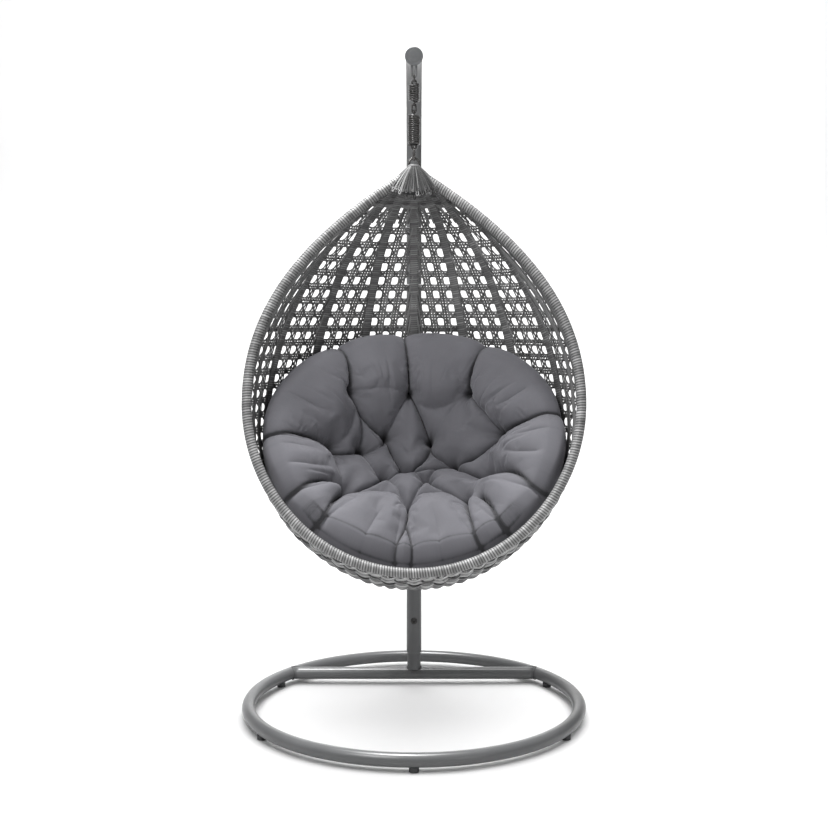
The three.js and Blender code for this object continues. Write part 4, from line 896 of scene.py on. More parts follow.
class Gore:
    """One gore of the shell, charted by height and by the distance from its outer rib along a level line."""

    def __init__(self, outer, inner):
        self.share = np.linspace(0, 1, 64)
        self.place = np.zeros((len(LEVELS), len(self.share), 3))
        self.width = np.zeros(len(LEVELS))
        for i in range(len(LEVELS)):
            turned = np.linspace(rib_turned(outer, i), rib_turned(inner, i), 40)
            row = taken_at(turned, ROUNDS, LEVEL_PLACE[i])
            run = run_of(row)
            self.width[i] = run[-1]
            self.place[i] = taken_at(self.share * run[-1], run, row)
        self.normal = outward(np.gradient(self.place, axis=1), -np.gradient(self.place, axis=0), self.place)
        self.reaches_rim = abs(outer) > OUTER_RIB

    def width_at(self, height):
        return np.interp(height, LEVELS, self.width)

    def at(self, out, height):
        """The place and the normal at a distance out and a height."""
        row = np.clip((height - LEVELS[0]) / (LEVELS[1] - LEVELS[0]), 0, len(LEVELS) - 1.001)
        column = np.clip(out / np.maximum(self.width_at(height), 1e-6), 0, 1) * (len(self.share) - 1.001)
        i, j = row.astype(int), column.astype(int)
        a, b = (row - i)[..., None], (column - j)[..., None]

        def blend(table):
            return (table[i, j] * (1 - a) * (1 - b) + table[i + 1, j] * a * (1 - b)
                    + table[i, j + 1] * (1 - a) * b + table[i + 1, j + 1] * a * b)

        return blend(self.place), unit(blend(self.normal))


# ---------------------------------------------------------------- cane webbing
PITCH = .041
UPRIGHT_BAND = (-.0086, 0, .0086)
LEVEL_BAND = (-.0074, 0, .0074)
EXTRA_BAND = (PITCH / 2 - .0068, PITCH / 2 + .0068)
CANE_STEP = .0036
CANE_LAYER = .0029
CANE_WAVE = .0006
CANE_HALF_WIDTH = .0030
SLANT_HALF_WIDTH = CANE_HALF_WIDTH * .9
CANE_FLATNESS = .5
NODE_HEIGHT = 1.1205
WEB_TOP = 1.486
WEB_BOTTOM = .52
RIM_MARGIN = .007
RIB_MARGIN = .003
SLITS_FROM = 1.43
RIM_SLITS_FROM = 1.12
BORDER_HEIGHT = .700
BORDER_SETBACK = -.191
BORDER_FALL = .36


def above_border(place):
    """How far places stand over the plane where the cane ends and the bowl's coarse weave begins."""
    return place[..., 2] - (BORDER_HEIGHT - BORDER_FALL * (place[..., 1] - BORDER_SETBACK))


def runs(mask):
    """First and last index of each stretch of true values."""
    edges = np.diff(np.concatenate([[0], mask.astype(int), [0]]))
    return list(zip(np.nonzero(edges == 1)[0], np.nonzero(edges == -1)[0] - 1))


def lay_cane(pile, gore, out, height, lift, tone, half_width=CANE_HALF_WIDTH):
    """One strand of cane on a gore, cut off wherever it leaves the webbing."""
    place, normal = gore.at(out, height)
    start = RIM_MARGIN if gore.reaches_rim else RIB_MARGIN
    inside = (out > start) & (out < gore.width_at(height) - RIB_MARGIN) & (height < WEB_TOP)
    place, inside = place + normal * lift[:, None], inside & (above_border(place) > -.003)
    for a, b in runs(inside):
        if b - a > 2:
            keep = np.unique(np.concatenate([np.arange(a, b, 2), [b]]))
            pile.tube(place[keep], half_width, sides=6, normal=normal[keep], tone=tone, flat=CANE_FLATNESS,
                      shift=DRAW.uniform(0, LONGEST_SHIFT))


def make_cane():
    """The webbing of each gore: bands of upright, level and slanting strands that wave over and under each other."""
    low, high = WEB_BOTTOM, WEB_TOP + .004
    heights = np.arange(low, high, CANE_STEP)
    first, last = int((low - NODE_HEIGHT) / PITCH) - 1, int((high - NODE_HEIGHT) / PITCH) + 1
    for side in (-1, 1):
        for outer in range(OUTER_RIB + 1, 0, -1):
            gore = Gore(side * outer, side * (outer - 1))
            pile = Pile()
            widest = gore.width.max()
            columns = int(widest / PITCH)
            for j in range(1, columns + 1):
                for nudge in UPRIGHT_BAND:
                    swing = CANE_WAVE * np.cos(pi * ((heights - NODE_HEIGHT) / PITCH + j))
                    out = np.full(len(heights), j * PITCH + nudge + DRAW.normal(0, .0003))
                    lay_cane(pile, gore, out, heights, swing - CANE_LAYER, DRAW.uniform(.2, .8))
            # The holes narrow to slits near the top, and beside the rim.
            close = heights[heights > (RIM_SLITS_FROM if gore.reaches_rim else SLITS_FROM)]
            for j in range(columns + 1):
                for nudge in EXTRA_BAND:
                    out = np.full(len(close), j * PITCH + nudge)
                    lay_cane(pile, gore, out, close, 0 * close - CANE_LAYER, DRAW.uniform(.2, .8))
            outs = np.arange(0, widest + CANE_STEP, CANE_STEP)
            for k in range(first, last + 1):
                for nudge in LEVEL_BAND:
                    sag = DRAW.normal(0, .0004) + .0006 * np.sin(outs * 9 + k)
                    swing = CANE_WAVE * np.cos(pi * (outs / PITCH + k))
                    height = NODE_HEIGHT + k * PITCH + nudge + sag
                    lay_cane(pile, gore, outs, height, CANE_LAYER - swing, DRAW.uniform(.2, .8))
            outs = np.arange(0, widest + CANE_STEP, CANE_STEP * .7)
            for k in range(first, last + columns + 2):
                for lean in (-1, 1):
                    height = NODE_HEIGHT + (k + .5) * PITCH - lean * outs
                    swing = lean * .0010 * np.cos(pi * ((outs + lean * (height - NODE_HEIGHT)) / PITCH + k))
                    lay_cane(pile, gore, outs, height, swing, DRAW.uniform(.1, .7), SLANT_HALF_WIDTH)
            for k in range(first - columns - 2, first):
                height = NODE_HEIGHT + (k + .5) * PITCH + outs
                lay_cane(pile, gore, outs, height, 0 * outs, DRAW.uniform(.1, .7), SLANT_HALF_WIDTH)
            number = side * outer + OUTER_RIB + (1 if side > 0 else 2)
            names = ["panel_%s_%d" % (part, number) for part in ("upper", "middle", "lower")]
            pile.piece("cane_gore_%d" % number, CANE, "pod", "weave", *names)


# ---------------------------------------------------------------- wound ribs, hoops and rim
RIB_WRAP = dict(pitch=.0066, height=.0010)
HOOP_WRAP = dict(pitch=.0055, height=.0007, sides=10, power=1)
RIM_WRAP = dict(pitch=.0074, height=.0011, sides=26, samples=8, power=1)
HOOP_HALF = .0034
RIM_HALF = .0129
# How far the hoops lie outside the shell's middle surface.
HOOP_LIFTS = dict(upper=.0098, middle=.0098, lower=-.001)


def wind(pile, line, normal, half_width, half_thick, pitch, height, sides=16, samples=5, tones=None, power=.62):
    """A bar wound with strand from end to end, with painted shade in the grooves between wraps. A power under 1 makes
    its section a rounded oblong.
    """
    run = run_of(line)
    wraps = max(2, int(round(run[-1] / pitch)))
    stations = np.linspace(0, run[-1], wraps * samples + 1)
    place = taken_at(stations, run, line)
    up = unit(taken_at(stations, run, np.broadcast_to(normal, line.shape)))
    width = np.interp(stations, run, np.broadcast_to(half_width, (len(run),)))
    thick = np.interp(stations, run, np.broadcast_to(half_thick, (len(run),)))
    angle = np.arange(sides) / sides * TURN
    own = (stations * wraps / run[-1])[:, None] + (angle / TURN)[None]
    round_share = np.sqrt(np.maximum(0, 1 - (2 * (own % 1) - 1) ** 2))
    ridge = height * round_share
    cs, sn = np.cos(angle), np.sin(angle)
    across = np.sign(cs) * np.abs(cs) ** power * width[:, None] + ridge * cs
    through = np.sign(sn) * np.abs(sn) ** power * thick[:, None] + ridge * sn
    along = unit(np.gradient(place, axis=0))
    side = unit(np.cross(along, up))
    up = np.cross(side, along)
    ring = place[:, None] + side[:, None] * across[..., None] + up[:, None] * through[..., None]
    if tones is None:
        tones = DRAW.uniform(.15, .85, wraps + 3)
    # Each wrap's tone falls to nothing in the groove beside it: painted shade in the grooves.
    tone = tones[np.clip(np.floor(own).astype(int), 0, wraps + 2)] * round_share ** 1.6
    lie = np.stack([own * .11, np.broadcast_to(stations[:, None] * 80, own.shape), own % 1 * .2], -1)
    pile.add(np.concatenate([ring.reshape(-1, 3), place[[0, -1]]]), *skin(len(stations), sides),
             np.concatenate([tone.ravel(), [.3, .3]]), np.concatenate([lie.reshape(-1, 3), np.zeros((2, 3))]))


def rib_line(index):
    """A rib's middle line and normals from under the apex wrap down to the rim."""
    turned = index * RIB_STEP
    downs = np.linspace(.055, 1, 70)
    t = np.linspace(QUARTER, 2 * QUARTER, 60)[1:]

    out, reach = sin(turned), cos(turned)

    def low_line(out, reach, t):
        return bowl_place(np.full(len(t), out), reach * np.cos(t), reach * np.sin(t))

    low = low_line(out, reach, t)
    beside = low_line(out + NUDGE, sqrt(1 - (out + NUDGE) ** 2), t)
    normal = outward(beside - low, low_line(out, reach, t + NUDGE) - low, low)
    return np.concatenate([shell(turned, downs), low]), np.concatenate([shell_normal(turned, downs), normal])


def make_ribs():
    """Broad flat ribs that narrow at the top. Under the coarse weave they are thin and lie further in."""
    for index in range(-OUTER_RIB, OUTER_RIB + 1):
        line, normal = rib_line(index)
        share = np.clip((above_border(line) + .01) / .05, 0, 1)
        narrow = np.clip((APEX - .02 - line[:, 2]) / .06, .72, 1.06)
        lowered = line - normal * (1 - share)[:, None] * .0035
        pile = Pile()
        wind(pile, lowered, normal, (.0045 + .0075 * share) * narrow, .0024 + .0014 * share,
             tones=DRAW.uniform(.45, 1, 400), **RIB_WRAP)
        number = index + OUTER_RIB + 1
        pile.piece("wound_rib_%d" % number, RIB_STRAND, "pod", "rib_wrap", "rib_%d" % number)


def make_hoops():
    """The level hoops that the ribs are tied to. The lower one lies within the coarse weave."""
    for name, height in HOOP_HEIGHTS.items():
        level = (height - LEVELS[0]) / (LEVELS[1] - LEVELS[0])
        i = int(level)
        down = (LEVEL_DOWN[i] * (1 - (level - i)) + LEVEL_DOWN[i + 1] * (level - i))[::3]
        turned = ROUNDS[::3]
        normal = shell_normal(turned, down)
        line = shell(turned, down) + normal * HOOP_LIFTS[name]
        pile = Pile()
        wind(pile, line, normal, HOOP_HALF, HOOP_HALF, **HOOP_WRAP)
        pile.piece("wound_hoop_" + name, RIB_STRAND, "pod", "rib_wrap", "hoop_" + name)


def make_rim():
    """The rim's tube, wound from the apex down one side and up the other."""
    down = np.linspace(.012, 2, 700)
    line = even(np.concatenate([shell(-QUARTER, down), shell(QUARTER, down[::-1])[1:]]), .004)
    wraps = int(round(run_of(line)[-1] / RIM_WRAP["pitch"]))
    tones = np.clip(DRAW.normal(.76, .07, wraps + 3), .3, 1)
    tones[DRAW.random(wraps + 3) < .06] = .9
    pile = Pile()
    wind(pile, line, unit(np.array([0, -1, -RIM_SLOPE])), RIM_HALF, RIM_HALF, tones=tones, **RIM_WRAP)
    pile.piece("wound_rim", RIM_STRAND, "pod", "rim_wrap", "pod_rim")


# ---------------------------------------------------------------- the bowl's coarse weave
SPOKE_STEP = radians(4.5)
ROW_STEP = .0108
FIRST_ROW = .0185
ROW_HALF_GAP = .0026
BOWL_MEAN_RADIUS = .43
ROW_STRAND = .0023
SPOKE_STRAND = .0026
BINDING_STRAND = .0021
BORDER_STRAND = .0029
BORDER_REACH = .0032
BORDER_TWIST = .042
BOWL_END = radians(80)


def bowl_point(lift, turned):
    """A place on the bowl, at an angle behind the rim's plane and an angle round from its bottom."""
    return bowl_place(np.cos(lift) * np.sin(turned), -np.cos(lift) * np.cos(turned), np.sin(lift))


def bowl_normal(lift, turned):
    """The bowl's outward normal at the same two angles."""
    place = bowl_point(lift, turned)
    return outward(bowl_point(lift, turned + NUDGE) - place, bowl_point(lift + NUDGE, turned) - place, place)


def make_bowl():
    """The bowl: rows of two strands each that weave over and under spokes, with the border and the lashings."""
    fine = np.linspace(0, BOWL_END, 2000)
    run = run_of(bowl_point(fine, 0 * fine))
    turned = np.linspace(-QUARTER * 1.6, QUARTER * 1.6, 1400)
    spoke = pi * turned / SPOKE_STEP
    rows = Pile()
    for row in range(ceil((run[-1] - FIRST_ROW) / ROW_STEP)):
        for strand in (-1, 1):
            lift = float(np.interp(FIRST_ROW + row * ROW_STEP + strand * ROW_HALF_GAP, run, fine))
            wave = np.cos(spoke + pi * row + .12 * np.sin(7 * turned + row))
            size = .0050 + .0018 * np.sin(turned * 23 + 1.7 * row) * np.sin(turned * 9 + row)
            size = size * min(1, cos(lift) * 1.7)
            sway = .0026 * np.sin(spoke + pi * row + .6) + .0012 * np.sin(turned * 31 + 2.1 * row + strand)
            lifts = lift + sway / BOWL_MEAN_RADIUS
            place, normal = bowl_point(lifts, turned), bowl_normal(lifts, turned)
            inside = above_border(place) < .002
            place = place + normal * (size * wave + .0034)[:, None]
            for a, b in runs(inside):
                if b - a > 5:
                    line = even(place[a:b + 1], .006)
                    way = unit(taken_at(np.linspace(a, b, len(line)), np.arange(len(normal)), normal))
                    rows.tube(line, ROW_STRAND, sides=8, normal=way, flat=.85, **own_look(0, 1))
    rows.piece("bowl_rows", BOWL_STRAND, "pod", "weave")
    spokes = Pile()
    half = int(QUARTER * 1.5 / SPOKE_STEP)
    lift = np.linspace(radians(1.2), BOWL_END, 110)
    for i in range(-half, half + 1):
        turned = np.full(len(lift), (i + .5) * SPOKE_STEP)
        place, normal = bowl_point(lift, turned), bowl_normal(lift, turned)
        for a, b in runs(above_border(place) < .003):
            if b - a > 3:
                spokes.tube(place[a:b + 1], SPOKE_STRAND, sides=8, normal=normal[a:b + 1], **own_look(.1, .5))
    spokes.piece("bowl_spokes", CANE, "pod", "weave")
    make_border()
    make_bindings()


def border_line():
    """The line where the cane ends and the coarse weave begins, from rim to rim round the back."""
    points = []
    for turned in np.linspace(-QUARTER, QUARTER, 121):
        place = shell(turned, np.linspace(.9, LOWEST_DOWN, 500))
        over = above_border(place)
        points.append(place[int(np.nonzero(over <= 0)[0][0]) if (over <= 0).any() else len(over) - 1])
    return even(np.array(points), .006)


def make_border():
    """Three strands twisted round each other along the border."""
    line = soften(border_line(), 6)
    across = np.gradient(line, axis=0)
    normal = outward(across, np.broadcast_to([0, 0, -1.], line.shape), line)
    up = unit(np.cross(unit(across), normal))
    pile = Pile()
    for lead in (0, 1, 2):
        phase = run_of(line) / BORDER_TWIST * TURN + lead * TURN / 3
        out, rise = BORDER_REACH * np.cos(phase), BORDER_REACH * np.sin(phase)
        twist = line + normal * out[:, None] + up * rise[:, None]
        pile.tube(even(twist, .0045), BORDER_STRAND, sides=8, tone=.35 + .2 * lead, shift=7 * lead)
    pile.piece("bowl_border", BOWL_STRAND, "pod", "weave")


def make_bindings():
    """Short lashings round the rows next to the rim."""
    pile = Pile()
    half = int(radians(66) / (2 * SPOKE_STEP))
    angle = np.arange(26) / 26 * TURN
    for i in range(-half, half + 1):
        turned = 2 * i * SPOKE_STEP + .01 * sin(9 * i)
        centre = bowl_point(np.array(0.), np.array(turned))
        along = unit(bowl_point(np.array(0.), np.array(turned + .001)) - centre)
        inward = unit(bowl_point(np.array(.02), np.array(turned)) - centre)
        normal = np.cross(along, inward)
        for k in (-1, 0, 1):
            loop = (centre + inward * .0215 + along * (k * .0046)
                    + inward * (.0115 * np.cos(angle))[:, None] + normal * (.0084 * np.sin(angle))[:, None]
                    + along * (.0018 * np.cos(angle))[:, None])
            pile.tube(loop, BINDING_STRAND, sides=7, closed=True, **own_look(.6, 1))
    pile.piece("rim_bindings", BOWL_STRAND, "pod", "weave")


# ---------------------------------------------------------------- the wrap over the apex
FAN_COUNT = 78
TIE_STRAND = .0016
COLLAR_STRAND = .0033
COLLAR_BOTTOM = 1.474
COLLAR_TOP = 1.530


def bell(angle, share, swell=0.):
    """A place on the flared wrap over the apex, at an angle round it and a share down it."""
    side = .0100 + .067 * share ** .9 + swell
    deep = .0105 + .0275 * share ** .65 + swell
    x = side * np.sin(angle)
    y = -deep * np.cos(angle) - RIM_SLOPE * .35 * .08 * share
    drop = .0865 - .020 * np.sin(angle) ** 2
    z = APEX + .0165 - drop * share ** 1.08 + swell * .4
    return np.stack(np.broadcast_arrays(x, y, z), -1)


def make_apex():
    """A plain core, the fan of loose strands over it, and the close rows of cane that fill the shell's top."""
    sides = 72
    angle = np.arange(sides) / sides * TURN
    rings = np.stack([bell(angle, share, -.0022) for share in np.linspace(0, .93, 24)])
    quads, tris = skin(len(rings), sides)
    verts = np.concatenate([rings.reshape(-1, 3), [rings[0].mean(0), rings[-1].mean(0)]])
    core = Pile()
    core.add(verts, quads[:, [0, 3, 2, 1]], tris[:, [0, 2, 1]], .3, np.zeros((len(verts), 3)))
    core.piece("apex_core", CORE, "pod", "frame_paint", "apex_hub")
    fan = Pile()
    for i in range(FAN_COUNT):
        angle = (i + .5) / FAN_COUNT * TURN
        share = np.linspace(.015, DRAW.uniform(.84, 1.03), 26)
        wobble = DRAW.normal(0, .035)
        line = bell(angle + wobble * share ** 2, share, DRAW.uniform(-.0008, .0012) * share)
        width = (.0006 + .0013 * share) * DRAW.uniform(.8, 1.15)
        end = line[-1]
        step = unit(bell(angle + .05, 1.) - bell(angle - .05, 1.))
        out = unit(end * np.array([1, 1, 0]))
        turn = np.linspace(0, pi * DRAW.uniform(1.1, 1.6), 15)[1:]
        size = DRAW.uniform(.0020, .0036)
        curl = (end + step * (size * (1 - np.cos(turn)) * DRAW.choice([-1, 1]))[:, None]
                + np.array([0, 0, -1.]) * (1.5 * size * np.sin(turn))[:, None]
                + out * (.5 * size * np.sin(turn))[:, None])
        radius = np.concatenate([width, np.full(len(curl), width[-1] * .82)])
        fan.tube(np.concatenate([line, curl]), radius, sides=9, normal=out, **own_look(.05, .9))
    angle = np.arange(60) / 60 * TURN
    # Two turns of strand tie the fan at its top.
    for k, share in enumerate((.02, .05)):
        fan.tube(bell(angle, share, .0012), TIE_STRAND, sides=8, closed=True, tone=.8, normal=(0, 0, 1), shift=9 * k)
    fan.piece("apex_fan", FAN_STRAND, "pod", "rim_wrap")
    collar = Pile()
    keep = slice(14, -14, 3)
    turned = ROUNDS[keep]
    for k, i in enumerate(np.nonzero((LEVELS > COLLAR_BOTTOM) & (LEVELS < COLLAR_TOP))[0]):
        normal = shell_normal(turned, LEVEL_DOWN[i, keep])
        wave = .0022 * np.cos(turned / RIB_STEP * TURN + pi * k) + .0006 * np.sin(13 * turned + .3 * k)
        rise = .0012 * np.sin(17 * turned + .3 * k)
        line = LEVEL_PLACE[i, keep] + normal * wave[:, None] + np.stack([0 * rise, 0 * rise, rise], -1)
        collar.tube(even(line, .005), COLLAR_STRAND, sides=7, **own_look(.1, .8))
    collar.piece("apex_collar", CANE, "pod", "weave")


# ---------------------------------------------------------------- cushion
# The laid-flat cushion's tufts, as shares of its radius: nine outer ones, six inner ones and the middle one.
TUFTS = CUSHION_CHART * np.array([
    (-.05, .693), (-.57, .54), (-.63, .09), (-.54, -.36), (-.06, -.60), (.44, -.42), (.55, -.14), (.655, .19),
    (.49, .56), (-.24, .38), (.14, .38), (.29, .09), (.115, -.17), (-.235, -.06), (-.40, .21), (-.07, .01),
])
# The creases that run out over the edge. The forked ones are narrower.
FORKED = (5, 6)
EDGE_CREASES = [
    [(-.05, .693), (-.052, .85), (-.089, 1.016)],
    [(-.57, .54), (-.582, .725), (-.61, .817)],
    [(-.63, .09), (-.80, .03), (-.931, -.041), (-1.016, -.089)],
    [(-.54, -.36), (-.66, -.36), (-.77, -.42), (-.86, -.56)],
    [(-.54, -.36), (-.60, -.50), (-.665, -.66), (-.675, -.78)],
    [(-.06, -.60), (-.057, -.765), (-.065, -.88), (-.156, -1.008)],
    [(-.065, -.88), (-.009, -1.02)],
    [(.44, -.42), (.455, -.62), (.476, -.833), (.463, -.915)],
    [(.56, -.50), (.62, -.63), (.64, -.80)],
    [(.55, -.14), (.68, -.22), (.805, -.354), (.87, -.54)],
    [(.655, .19), (.80, .14), (.907, .119), (1.013, .115)],
    [(.49, .56), (.529, .677), (.55, .76), (.578, .84)],
]
# Folds that start at a crease or at the edge and run out in the filling.
FOLDS = [
    [(-.57, .54), (-.67, .585), (-.80, .57)], [(.49, .56), (.37, .52), (.25, .42)],
    [(-.052, .80), (-.02, .90), (.02, .99)], [(-.052, .86), (-.13, .98)],
    [(.80, .14), (.88, .17), (.97, .22)], [(-1., -.20), (-.90, -.17), (-.82, -.16)],
    [(-.92, -.36), (-.80, -.33), (-.70, -.25)], [(1., -.06), (.90, -.05), (.84, -.02)],
    [(.93, -.26), (.82, -.19), (.74, -.08)], [(-.95, .28), (-.84, .25), (-.77, .26)],
    [(.90, .36), (.82, .31), (.74, .32)], [(-.38, -.92), (-.34, -.82), (-.30, -.76)],
    [(.20, -.98), (.21, -.88), (.19, -.80)], [(.655, .19), (.72, .30), (.75, .40)],
    [(-.63, .09), (-.60, -.02), (-.62, -.12)],
]
# The creases between tufts: their two tufts, their bow, how deep they are and how sharp.
LINKS = [
    (0, 1, .12, .35, 0), (8, 0, -.12, .35, 0), (1, 2, -.16, .4, 0), (2, 3, .05, .5, 0), (5, 6, .05, .5, 0),
    (6, 7, -.10, .5, 0), (7, 8, .06, .8, .6), (3, 4, -.16, .7, 0), (4, 5, -.16, .7, 0), (1, 9, .16, 1, .9),
    (1, 14, -.10, .7, .5), (0, 10, -.06, 1, .8), (0, 9, .06, .5, .2), (7, 11, -.12, 1, 1), (10, 11, .10, .9, .7),
    (9, 15, .05, 1, .8), (10, 15, -.16, .9, .7), (11, 15, -.10, .8, .5), (11, 6, .10, .9, .8), (12, 15, .08, .7, .6),
    (12, 5, .14, .8, .5), (13, 15, .12, .8, .7), (13, 3, -.12, .9, .8), (13, 14, -.10, .6, .2), (14, 2, -.16, .9, .8),
    (14, 9, .18, .7, .6), (11, 12, .14, .6, .4), (4, 12, .05, .6, .3), (4, 13, -.05, .6, .3),
]


def bent(start, end, bow, steps=7):
    """A bowed line between two places of the flat cushion."""
    start, end = np.asarray(start, float), np.asarray(end, float)
    t = np.linspace(0, 1, steps)[:, None]
    side = np.array([end[1] - start[1], start[0] - end[0]])
    return start + (end - start) * t + side * bow * 4 * t * (1 - t)


def crease_lines():
    """Each crease: its line, its depth at both ends and halfway, its half width, and how sharp it is."""
    draw = np.random.default_rng(52)
    lines = []
    for number, path in enumerate(EDGE_CREASES):
        path = soften(even(np.array(path) * CUSHION_CHART, .03), 2)
        depths, wide = ((.040, .042, .036), .08) if number in FORKED else ((.060, .056, .040), .13)
        lines.append((path, depths, wide, 1.1))
        for _ in range(6):
            k = draw.integers(1, len(path) - 1)
            way = unit(path[k + 1] - path[k - 1])
            lean = draw.choice([-1, 1]) * draw.uniform(.4, 1.0)
            reach = draw.uniform(.05, .11)
            tip = path[k] + reach * (cos(lean) * way + sin(lean) * np.array([-way[1], way[0]]))
            lines.append((bent(path[k], tip, draw.uniform(-.2, .2)), (.026, .012, 0), .024, .3))
    for first, last, bow, deep, sharp in LINKS:
        end, wide = (.046, .065) if sharp else (.022, .11)
        lines.append((bent(TUFTS[first], TUFTS[last], bow), (end, .032 * deep, end), wide, sharp))
    for path in FOLDS:
        path = soften(even(np.array(path) * CUSHION_CHART, .02), 2)
        lines.append((path, (.024, .012, 0), .055, .35))
    for tuft in TUFTS:
        for _ in range(draw.integers(3, 6)):
            lean, reach = draw.uniform(0, TURN), draw.uniform(.035, .08)
            tip = tuft + reach * np.array([cos(lean), sin(lean)])
            lines.append((bent(tuft, tip, draw.uniform(-.15, .15)), (.046, .012, 0), .018, .35))
    return lines


CREASES = crease_lines()
EDGE_ANGLES = [atan2(path[-1][1], path[-1][0]) for path in EDGE_CREASES]


def tuft_distance(px, py):
    """The distance of each place from its nearest tuft."""
    return np.min([np.hypot(px - x, py - y) for x, y in TUFTS], 0)


def line_distance(px, py, line):
    """The distance of each place from a line, and how far along the line its nearest point is."""
    best, along = np.full(px.shape, 1e9), np.zeros(px.shape)
    for i, (a, b) in enumerate(zip(line[:-1], line[1:])):
        d = b - a
        t = np.clip(((px - a[0]) * d[0] + (py - a[1]) * d[1]) / (d @ d), 0, 1)
        far = np.hypot(px - a[0] - t * d[0], py - a[1] - t * d[1])
        along = np.where(far < best, (i + t) / (len(line) - 1), along)
        best = np.where(far < best, far, best)
    return best, along


def depth_along(along, depths):
    """A crease's depth part of the way along it, from its start, middle and end depths."""
    return np.interp(along, (0, .5, 1), depths)


def cushion_base(share, angle, notch):
    """Where the laid-flat cushion's places fall on the shell. A notch draws the edge in."""
    widened = CUSHION_REACH + CUSHION_SIDE_REACH * np.cos(angle) ** 2 - CUSHION_LOWER_REACH * np.sin(angle)
    reach = widened * share * (1 - notch)
    middle = np.array([0, cos(CUSHION_MIDDLE), sin(CUSHION_MIDDLE)])
    upward = np.array([0, sin(CUSHION_MIDDLE), -cos(CUSHION_MIDDLE)])
    place = (np.cos(reach)[..., None] * middle + (np.sin(reach) * np.cos(angle))[..., None] * np.array([1., 0, 0])
             + (np.sin(reach) * np.sin(angle))[..., None] * upward)
    return shell(np.arctan2(place[..., 0], place[..., 2]), np.arccos(np.clip(place[..., 1], -1, 1)) / QUARTER)


def disk_grid(count):
    """A square net of points laid over a round sheet: share of the radius and angle."""
    a, b = np.meshgrid(np.linspace(-1, 1, count), np.linspace(-1, 1, count), indexing="ij")
    wide = np.abs(a) > np.abs(b)
    safe_a, safe_b = np.where(a == 0, 1e-9, a), np.where(b == 0, 1e-9, b)
    radius = np.where(wide, a, b)
    angle = np.where(wide, pi / 4 * b / safe_a, QUARTER - pi / 4 * a / safe_b)
    angle = np.where(radius < 0, angle + pi, angle)
    radius = np.abs(radius)
    return 1 - (1 - radius) ** 1.45, angle


def dent(far, wide):
    """The side of a round pillow: 1 at the crease itself, and none past its half width."""
    t = 1 - np.clip(far / wide, 0, 1)
    return .75 * (1 - np.sqrt(1 - t ** 2)) + .25 * t ** 2


def pinch(px, py):
    """The narrow slit at the bottom of every crease and tuft."""
    slit = .032 * np.exp(-tuft_distance(px, py) / .010)
    for line, depths, _, sharp in CREASES:
        far, along = line_distance(px, py, line)
        slit = np.maximum(slit, .34 * sharp * depth_along(along, depths) * np.exp(-far / .0055))
    return slit


def cushion_sheets(count, fine):
    """The cushion's upper and lower faces on one net. With fine, every fold and pucker is shaped too."""
    share, angle = disk_grid(count)
    px, py = share * CUSHION_CHART * np.cos(angle), share * CUSHION_CHART * np.sin(angle)
    notch = 0 * share
    for at in EDGE_ANGLES:
        off = (angle - at + pi) % TURN - pi
        broad, narrow = share ** 4 * np.exp(-(off / .13) ** 2), share ** 6 * np.exp(-np.abs(off) / .028)
        notch = np.maximum(notch, .014 * broad + fine * .020 * narrow)
    base = cushion_base(share, angle, notch)
    inward = unit(CUSHION_FOCUS - base)
    sunk = np.maximum(0, RIM_MIDDLE - base[..., 2])
    crown = np.exp(-(((share - .84) / .2) ** 2))
    filling = CUSHION_FILLING * (sunk / RIM_RADIUS) ** 2 * (1 - share ** 2)
    height = CUSHION_THICKNESS + CUSHION_CROWN * crown + filling
    gap = tuft_distance(px, py)
    sunk_in = (.070 * dent(gap, .105)) ** 3
    for line, depths, wide, _ in CREASES:
        far, along = line_distance(px, py, line)
        sunk_in = sunk_in + (depth_along(along, depths) * dent(far, wide)) ** 3
    sunk_in = sunk_in ** (1 / 3)
    if fine:
        sunk_in = sunk_in + pinch(px, py) * np.clip((1.02 - share) / .15, 0, 1)
    # The hollows stop short of the lower face.
    height = height - (np.maximum(sunk_in, 1e-6) ** -6 + (height - CUSHION_LEAST) ** -6) ** (-1 / 6)
    if fine:
        height = height + cushion_wrinkles(px, py, share, angle, gap)
    joint = CUSHION_THICKNESS / 2 * (1 - .35 * np.cos(angle) ** 2)
    upper, lower = (.12 + .88 * np.sqrt(np.maximum(0, 1 - share ** power)) for power in (5, 16))
    top = base + inward * (CUSHION_CLEAR + joint + (height - joint) * upper)[..., None]
    low = base + inward * (CUSHION_CLEAR + joint - joint * lower)[..., None]
    return top, low, px, py, share, angle


def seam_line(share, angle, inside=0., width=.0036):
    """The stitched line along the cushion's front edge. It runs down out of sight towards the sides."""
    front = np.clip((-np.sin(angle) - .62) / .38, 0, 1)
    at = SEAM_SHARE + .009 * (1 - front) ** 2 - inside
    return np.exp(-((share - at) / width) ** 2) * np.clip(front * 5, 0, 1)


